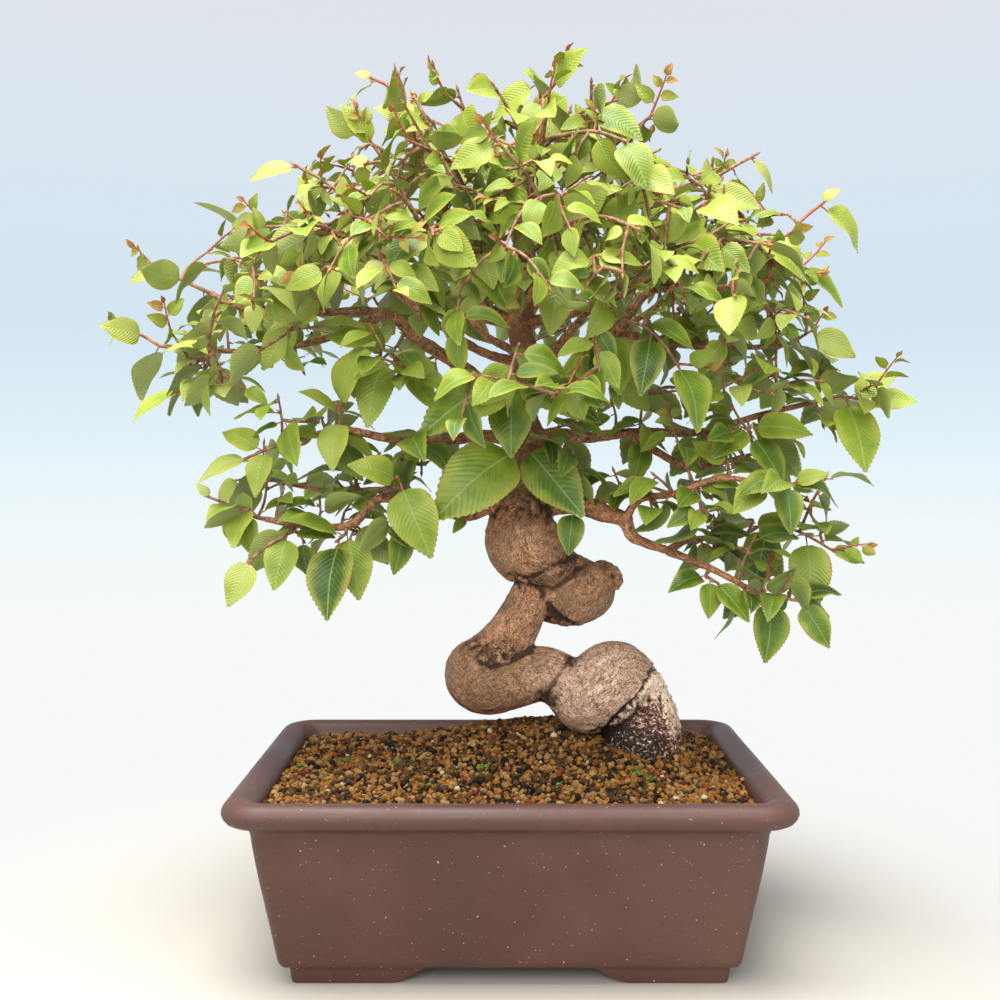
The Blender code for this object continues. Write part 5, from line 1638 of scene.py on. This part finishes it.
def build_trunk(limbs):
    """The trunk and limbs: swellings melted together, bark with wrinkles, folds and a crusted root, and
    painted shade in its folds.
    """
    rng = random.Random(3)
    route = curve_through([(*seen(u, v, y), r) for u, v, y, r in SNAKE], 1.5)
    balls = route + [(*seen(u, v, y), r) for u, v, y, r in KNOBS]
    for path in limbs.values():
        balls += [p for p in curve_through(path, 1.0) if p[3] > THICK_LIMB]
    points, faces = upright(*STUMP, STUMP_RADIUS, STUMP_BOTTOM, STUMP_TOP, 48)
    for x, y, z, r in balls:
        more, sides = ball((x, y, z), r, 0.004, rng, 3 if r > 7 else 2)
        faces += [tuple(i + len(points) for i in side) for side in sides]
        points += more
    trunk = mesh_object("trunk_bark", points, faces)
    remesh = trunk.modifiers.new("melt", "REMESH")
    remesh.mode = "VOXEL"
    remesh.voxel_size = FINE_VOXEL * MM
    smooth = trunk.modifiers.new("smooth", "SMOOTH")
    smooth.iterations = 6
    settle(trunk)
    body = [v.co / MM for v in trunk.data.vertices], [tuple(p.vertices) for p in trunk.data.polygons]
    bpy.data.objects.remove(trunk)
    points, faces = body
    for path in limbs.values():
        fine = [p for p in curve_through(path, 2.5) if p[3] <= THICK_LIMB * 1.1]
        if len(fine) > 2:
            more, sides = tube(fine, 12)
            faces += [tuple(i + len(points) for i in side) for side in sides]
            points += more
    trunk = mesh_object("trunk_bark", points, faces)
    mesh = trunk.data
    lines = bark_lines(limbs)
    tree = KDTree(len(lines))
    for i, line in enumerate(lines):
        tree.insert(line[0], i)
    tree.balance()
    grain = np.zeros((len(mesh.vertices), 3), np.float32)
    painted_crease_shade = np.zeros(len(mesh.vertices), np.float32)
    lift = np.zeros(len(mesh.vertices), np.float32)
    shades = np.zeros((len(mesh.vertices), 4), np.float32)
    kinds = np.zeros((len(mesh.vertices), 3), np.float32)
    for i, vertex in enumerate(mesh.vertices):
        place = vertex.co / MM
        _, k, _ = tree.find(place)
        start, done, along, across, radius = lines[k]
        off = place - start
        here = Vector((done + off.dot(along), off.dot(across), off.dot(along.cross(across))))
        grain[i] = here
        small = min(1.0, radius / 9)
        wrinkle = nearness(place, WRINKLES)
        wave = noise.noise(Vector((here.x * 0.10, here.y * 0.30, here.z * 0.30)))
        fine = noise.noise(Vector((here.x * 0.45, here.y * 0.95, here.z * 0.95)) + Vector((7, 3, 1)))
        ring = noise.noise(Vector((here.x * 0.9, here.y * 0.18, here.z * 0.18)) + Vector((2, 9, 4)))
        crease = abs(noise.noise(Vector((here.x * 0.55, here.y * 0.30, here.z * 0.30)) + Vector((5, 5, 8))))
        split = 0.8 * max(0.0, 0.16 - crease) / 0.16
        lift[i] = small * (0.45 * wave + 0.20 * fine) + wrinkle * (0.5 * ring - split)
        lift[i] += 0.10 * noise.noise(place * 1.9)
        if radius < 9:
            lift[i] += 0.13 * radius * noise.noise(Vector((here.x * 0.20, here.y * 0.35, here.z * 0.35)))
            lift[i] += 0.05 * radius * noise.noise(Vector((here.x * 0.60, here.y * 0.5, here.z * 0.5)))
        marked, dark, crust = marks_at(place, vertex.normal)
        # Painted light and shade on the root's crust: paler where it faces right and stands higher, darker
        # low and to the left.
        crust_light_and_tone = 0.26 + 0.50 * vertex.normal.x + 0.028 * (place.z - 94) + 0.35 * noise.noise(place * 0.12)
        kinds[i] = (clamped((9.5 - radius) / 3), clamped(crust_light_and_tone), wrinkle)
        lift[i] += marked + crust * (0.9 * noise.noise(place * 0.38) + 0.4 * noise.noise(place * 1.1))
        # Painted shade in the wrinkles' fine creases and from the creases, knots and hollows.
        painted_crease_shade[i] = wrinkle * max(0.0, 0.2 - crease) / 0.2 + dark
        shades[i, 1] = crust
        pale = max(0.0, 1 - (place - Vector(seen(*PALE_SPOT))).length / PALE_REACH)
        shades[i, 2] = clamped(1.15 - 1.5 * pale)
    normals = np.zeros(3 * len(mesh.vertices), np.float32)
    mesh.vertices.foreach_get("normal", normals)
    places = np.zeros(3 * len(mesh.vertices), np.float32)
    mesh.vertices.foreach_get("co", places)
    places += (lift[:, None] * normals.reshape(-1, 3)).ravel() * MM
    mesh.vertices.foreach_set("co", places)
    mesh.update()
    # Painted shade: darker where the bark lies under its surroundings, finely and broadly, with the painted
    # crease shade.
    deep = hollows(mesh, 3) * 1.6 + hollows(mesh, 24) * 0.55
    shades[:, 0] = np.clip(around_each(mesh, deep, 1) * 1.2 + 0.8 * painted_crease_shade, 0, 1)
    shades[:, 3] = 1.0
    mesh.attributes.new("grain", "FLOAT_VECTOR", "POINT").data.foreach_set("vector", (grain * MM).ravel())
    mesh.attributes.new("painted_shade_crust_tint", "FLOAT_COLOR", "POINT").data.foreach_set("color", shades.ravel())
    mesh.attributes.new("kind", "FLOAT_VECTOR", "POINT").data.foreach_set("vector", kinds.ravel())
    dress(trunk, bark_shade(), "trunk")


def dress(piece, material, node):
    """Gives a piece its material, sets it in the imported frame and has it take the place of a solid."""
    piece.data.materials.clear()
    piece.data.materials.append(material)
    piece.data.transform(Matrix.Translation(SHIFT))
    piece.data.shade_smooth()
    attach(piece, "root")
    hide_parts(node)


def fine_loop(inset, z):
    """The pot's rounded outline with a fine corner and points along its straight sides, a little uneven."""
    loop = section_loop(inset, z, FINE_CORNER)
    points = []
    for i, (a, b) in enumerate(zip(loop, loop[1:] + loop[:1])):
        straight = (i + 1) % (FINE_CORNER + 1) == 0
        count = FINE_STRAIGHT if straight else 1
        for k in range(count):
            points.append(tuple(p + (q - p) * k / count for p, q in zip(a, b)))
    return [
        (x * (1 + 0.0016 * noise.noise(Vector((x, y, z)) * 0.03)),
         y * (1 + 0.0020 * noise.noise(Vector((y, z, x)) * 0.03)), z)
        for x, y, z in points
    ]


def build_pot():
    """The pot with a rounded lip, softly bent walls and smooth ogee arches."""
    section = curve_through(OUTSIDE[1:] + INSIDE, SECTION_STEP)
    pot = mesh_object("pot_clay", *loft([fine_loop(inset, z) for inset, z in OUTSIDE[:1] + tuple(section)]))
    ring = curve_through(FOOT_RING, SECTION_STEP)
    outer = mesh_object("ring", *loft([fine_loop(inset, z) for inset, z in ring]))
    inner = [section_loop(inset + FOOT_THICK, z, FINE_CORNER) for inset, z in ring[1:-1]]
    low = [section_loop(FOOT_RING[0][0] + FOOT_THICK, -3.0, FINE_CORNER)]
    high = [section_loop(FOOT_RING[-1][0] + FOOT_THICK, 9.0, FINE_CORNER)]
    cutters = [
        mesh_object("hollow", *loft(low + inner + high)),
        mesh_object("front_arch", *arch_cutter(*FRONT_ARCH, False)),
        mesh_object("side_arch", *arch_cutter(*SIDE_ARCH, True)),
    ]
    combine(outer, cutters, "DIFFERENCE")
    combine(pot, [outer], "UNION")
    holes = [upright(side * DRAIN_X, 0, DRAIN_RADIUS, -2, FLOOR_TOP + 3, 32) for side in (-1, 1)]
    combine(pot, [mesh_object("hole", *hole) for hole in holes], "DIFFERENCE")
    dress(pot, clay_shade(), "pot")
    pot.data.set_sharp_from_angle(angle=math.radians(38))
    dress_screens()


def dress_screens():
    """A black plastic weave on the two drain screens, which keep the shape of their solids."""
    shade = Shade("mesh_plastic", 0.55, 0.4)
    weave = shade.noise(shade.place(), 1200.0, 2.0)
    shade.colour(shade.ramp(weave, (0.3, (22, 22, 24)), (0.7, (48, 48, 50))))
    shade.height(weave, 0.0003, 0.5)
    for name in ("drain_screen_left", "drain_screen_right"):
        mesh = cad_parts[name].data
        mesh.materials.clear()
        mesh.materials.append(shade.material)


def ground_height(x, y):
    """The soil's height with its small lumps."""
    place = Vector((x, y, 0))
    return soil_height(x, y) + 0.9 * noise.noise(place * 0.11) + 0.5 * noise.noise(place * 0.31)


def build_soil():
    """The soil's bed under the grains, with room for the two drain screens under it."""
    loops = [evened(section_loop(inset, z, 8), BED_SIDES) for inset, z in curve_through(SOIL_EDGE, 6.0)]
    top = loops[-1]
    for ring in range(1, BED_RINGS + 1):
        share = 1 - ring / (BED_RINGS + 0.6)
        places = [(x * share, y * share) for x, y, _ in top]
        loops.append([(x, y, ground_height(x, y) - BED_UNDER) for x, y in places])
    points, faces = loft(loops)
    faces.pop()
    points.append((0.0, 0.0, ground_height(0, 0) - BED_UNDER))
    first = len(points) - 1 - len(loops[0])
    for k in range(len(loops[0])):
        faces.append((first + k, first + (k + 1) % len(loops[0]), len(points) - 1))
    soil = mesh_object("soil_bed", points, faces)
    half = SCREEN_SIDE / 2 + 2 * GAP
    top_of_bed = FLOOR_TOP + SCREEN_THICK + 2.2 * GAP
    cutters = []
    for x in (-DRAIN_X, DRAIN_X):
        corners = ((x - half, -half), (x + half, -half), (x + half, half), (x - half, half))
        bed = loft([[(a, b, z) for a, b in corners] for z in (10.0, top_of_bed)])
        cutters.append(mesh_object("bed", *bed))
    combine(soil, cutters, "DIFFERENCE")
    dress(soil, ground_shade(), "soil")


def on_soil(u, v):
    """The place on the soil that shows at u, v in the photo."""
    for step in range(3200):
        x, y, z = seen(u, v, -80 + step * 0.05)
        if z <= ground_height(x, y):
            break
    return Vector((x, y, z))


GRAIN_POINTS, GRAIN_FACES = ball((0, 0, 0), 1.0, 0.0, random.Random(1), 1)


def grain(build, place, size, rng, kind, long=1.0):
    """An uneven grain of twenty faces."""
    squash = Vector((rng.uniform(0.75, 1.2) * long, rng.uniform(0.75, 1.2), rng.uniform(0.65, 1.05)))
    round_about = Matrix.Rotation(rng.uniform(0, 2 * math.pi), 3, "Z")
    turn = round_about @ Matrix.Rotation(rng.uniform(-0.9, 0.9), 3, "X")
    points = []
    for corner in GRAIN_POINTS:
        out = corner * rng.uniform(0.78, 1.18)
        points.append(place + turn @ Vector((out.x * squash.x, out.y * squash.y, out.z * squash.z)) * size)
    build.add(points, GRAIN_FACES, kind)


def build_grains():
    """Loose grains of burnt clay and lava all over the soil, with moss flecks, seeds and dark crumbs."""
    rng = random.Random(17)
    kinds = [name for name, _ in GRAIN_SHARES]
    build = Build()
    reach_x, reach_y = HALF_LONG - 14.6, HALF_WIDE - 14.6
    rows, columns = int(2 * reach_y / GRAIN_STEP), int(2 * reach_x / GRAIN_STEP)
    for row in range(rows + 1):
        for column in range(columns + 1):
            x = -reach_x + (column + 0.5 * (row % 2) + rng.uniform(-0.45, 0.45)) * GRAIN_STEP
            y = -reach_y + (row + rng.uniform(-0.45, 0.45)) * GRAIN_STEP
            corner = math.hypot(max(0, abs(x) - reach_x + 7), max(0, abs(y) - reach_y + 7))
            from_stump = math.hypot(x - STUMP[0], y - STUMP[1])
            if abs(x) > reach_x or abs(y) > reach_y or corner > 7 or from_stump < 13:
                continue
            size = GRAIN_SIZE[0] + (GRAIN_SIZE[1] - GRAIN_SIZE[0]) * rng.random() ** 1.7
            lot = rng.random()
            kind = 0
            while kind < len(kinds) - 1 and lot > GRAIN_SHARES[kind][1]:
                lot -= GRAIN_SHARES[kind][1]
                kind += 1
            up = rng.uniform(-0.1, 0.75) * size
            grain(build, Vector((x, y, ground_height(x, y) + up)), size, rng, kind)
    piece = build.finish("soil_grains", [grain_shade(name, *GRAIN_COLOURS[name]) for name in kinds])
    piece.data.shade_flat()
    moss, seeds = Build(), Build()
    for u, v, reach in MOSS_SPOTS:
        centre = on_soil(u, v)
        for _ in range(int(16 * reach)):
            x, y = centre.x + rng.gauss(0, 0.5) * reach, centre.y + rng.gauss(0, 0.5) * reach
            place = Vector((x, y, ground_height(x, y) + 0.9 + rng.uniform(0, 0.8)))
            grain(moss, place, rng.uniform(0.35, 0.8), rng, 0)
    for u, v in SEED_SPOTS:
        grain(seeds, on_soil(u, v) + Vector((0, 0, 1.8)), 1.5, rng, 0, 1.7)
    for _ in range(CRUMBS):
        x, y = rng.uniform(-0.95, 0.95) * reach_x, rng.uniform(-0.95, 0.95) * reach_y
        if math.hypot(x - STUMP[0], y - STUMP[1]) > 20:
            high = ground_height(x, y) + rng.uniform(1.0, 1.9)
            grain(seeds, Vector((x, y, high)), rng.uniform(0.4, 0.8), rng, 1, rng.uniform(2.0, 4.5))
    green = Shade("moss", 0.95, 0.2)
    fluff = green.noise(green.place(), 500.0, 3.0)
    green.colour(green.ramp(fluff, (0.3, (58, 78, 30)), (0.7, (124, 140, 58))))
    seed = Shade("seed_skin", 0.55, 0.4)
    seed.colour(seed.ramp(seed.noise(seed.place(), 700.0, 3.0), (0.3, (128, 84, 48)), (0.7, (190, 142, 88))))
    crumb = Shade("dark_crumb", 0.85, 0.3)
    crumb.colour(crumb.ramp(crumb.noise(crumb.place(), 600.0, 3.0), (0.3, (34, 26, 22)), (0.7, (92, 66, 46))))
    moss.finish("moss_flecks", [green.material])
    seeds.finish("seeds_and_crumbs", [seed.material, crumb.material])


def build_stage():
    """A pale floor that curves up into a pale blue wall, soft light from above and ahead, the camera."""
    profile = curve_through(FLOOR_PROFILE, 0.1)
    sides = FLOOR_SIDES
    points = [(0.0, 0.0, 0.0)]
    for reach, high in profile[1:]:
        points += [
            (reach * math.cos(2 * math.pi * k / sides), reach * math.sin(2 * math.pi * k / sides), high)
            for k in range(sides)
        ]
    faces = [(0, 1 + k, 1 + (k + 1) % sides) for k in range(sides)]
    for i in range(len(profile) - 2):
        for k in range(sides):
            a, b = 1 + i * sides + k, 1 + i * sides + (k + 1) % sides
            faces.append((a, a + sides, b + sides, b))
    mesh = bpy.data.meshes.new("studio_floor")
    mesh.from_pydata(points, [], faces)
    mesh.shade_smooth()
    floor = linked("studio_floor", mesh)
    shade = Shade("studio_paper", 0.9, 0.1)
    shade.colour(linear(*FLOOR_TONE))
    place = shade.add("ShaderNodeSeparateXYZ", {0: shade.place()})
    squares = [shade.math("POWER", place.outputs[a], 2.0) for a in (0, 1)]
    away = shade.math("SQRT", shade.math("ADD", *squares))
    tone = shade.ramp(shade.math("DIVIDE", place.outputs[2], PAPER_HIGH), *PAPER_TONES)
    glow = shade.add("ShaderNodeEmission", {"Color": tone}).outputs[0]
    parts = {0: shade.between(away, 0.08, 0.35), 1: shade.shader.outputs[0], 2: glow}
    mixed = shade.add("ShaderNodeMixShader", parts).outputs[0]
    shade.tree.links.new(mixed, shade.tree.nodes["Material Output"].inputs[0])
    floor.data.materials.append(shade.material)
    floor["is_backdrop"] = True
    for name, place, aim, size, power, colour in LIGHTS:
        data = bpy.data.lights.new(name, "AREA")
        data.shape = "RECTANGLE"
        data.size, data.size_y = size
        data.energy = power
        data.color = colour
        lamp = linked(name, data)
        lamp.location = place
        lamp.rotation_euler = (Vector(aim) - Vector(place)).to_track_quat("-Z", "Y").to_euler()
    world = bpy.data.worlds.new("studio_air")
    world.use_nodes = True
    world.node_tree.nodes["Background"].inputs["Color"].default_value = (1.0, 1.0, 1.0, 1.0)
    world.node_tree.nodes["Background"].inputs["Strength"].default_value = WORLD_POWER
    bpy.context.scene.world = world
    data = bpy.data.cameras.new("photo_camera")
    data.sensor_width = SENSOR
    data.lens = SENSOR * FOCAL / PHOTO_WIDE
    camera = linked("photo_camera", data)
    camera.location = Vector(EYE) * MM + SHIFT
    camera.rotation_euler = (math.radians(90 - LOOKS_DOWN), 0, 0)
    bpy.context.scene.camera = camera
    bpy.context.scene.view_settings.view_transform = "Standard"


def corners(box):
    """A box's two corners as plain lists."""
    return [list(corner) for corner in box]


def main():
    build_stage()
    limbs = all_limbs()
    build_foliage(limbs)
    build_trunk(limbs)
    build_pot()
    build_soil()
    build_grains()
    {"cad": corners(cad_box), "scene": corners(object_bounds())}


main()
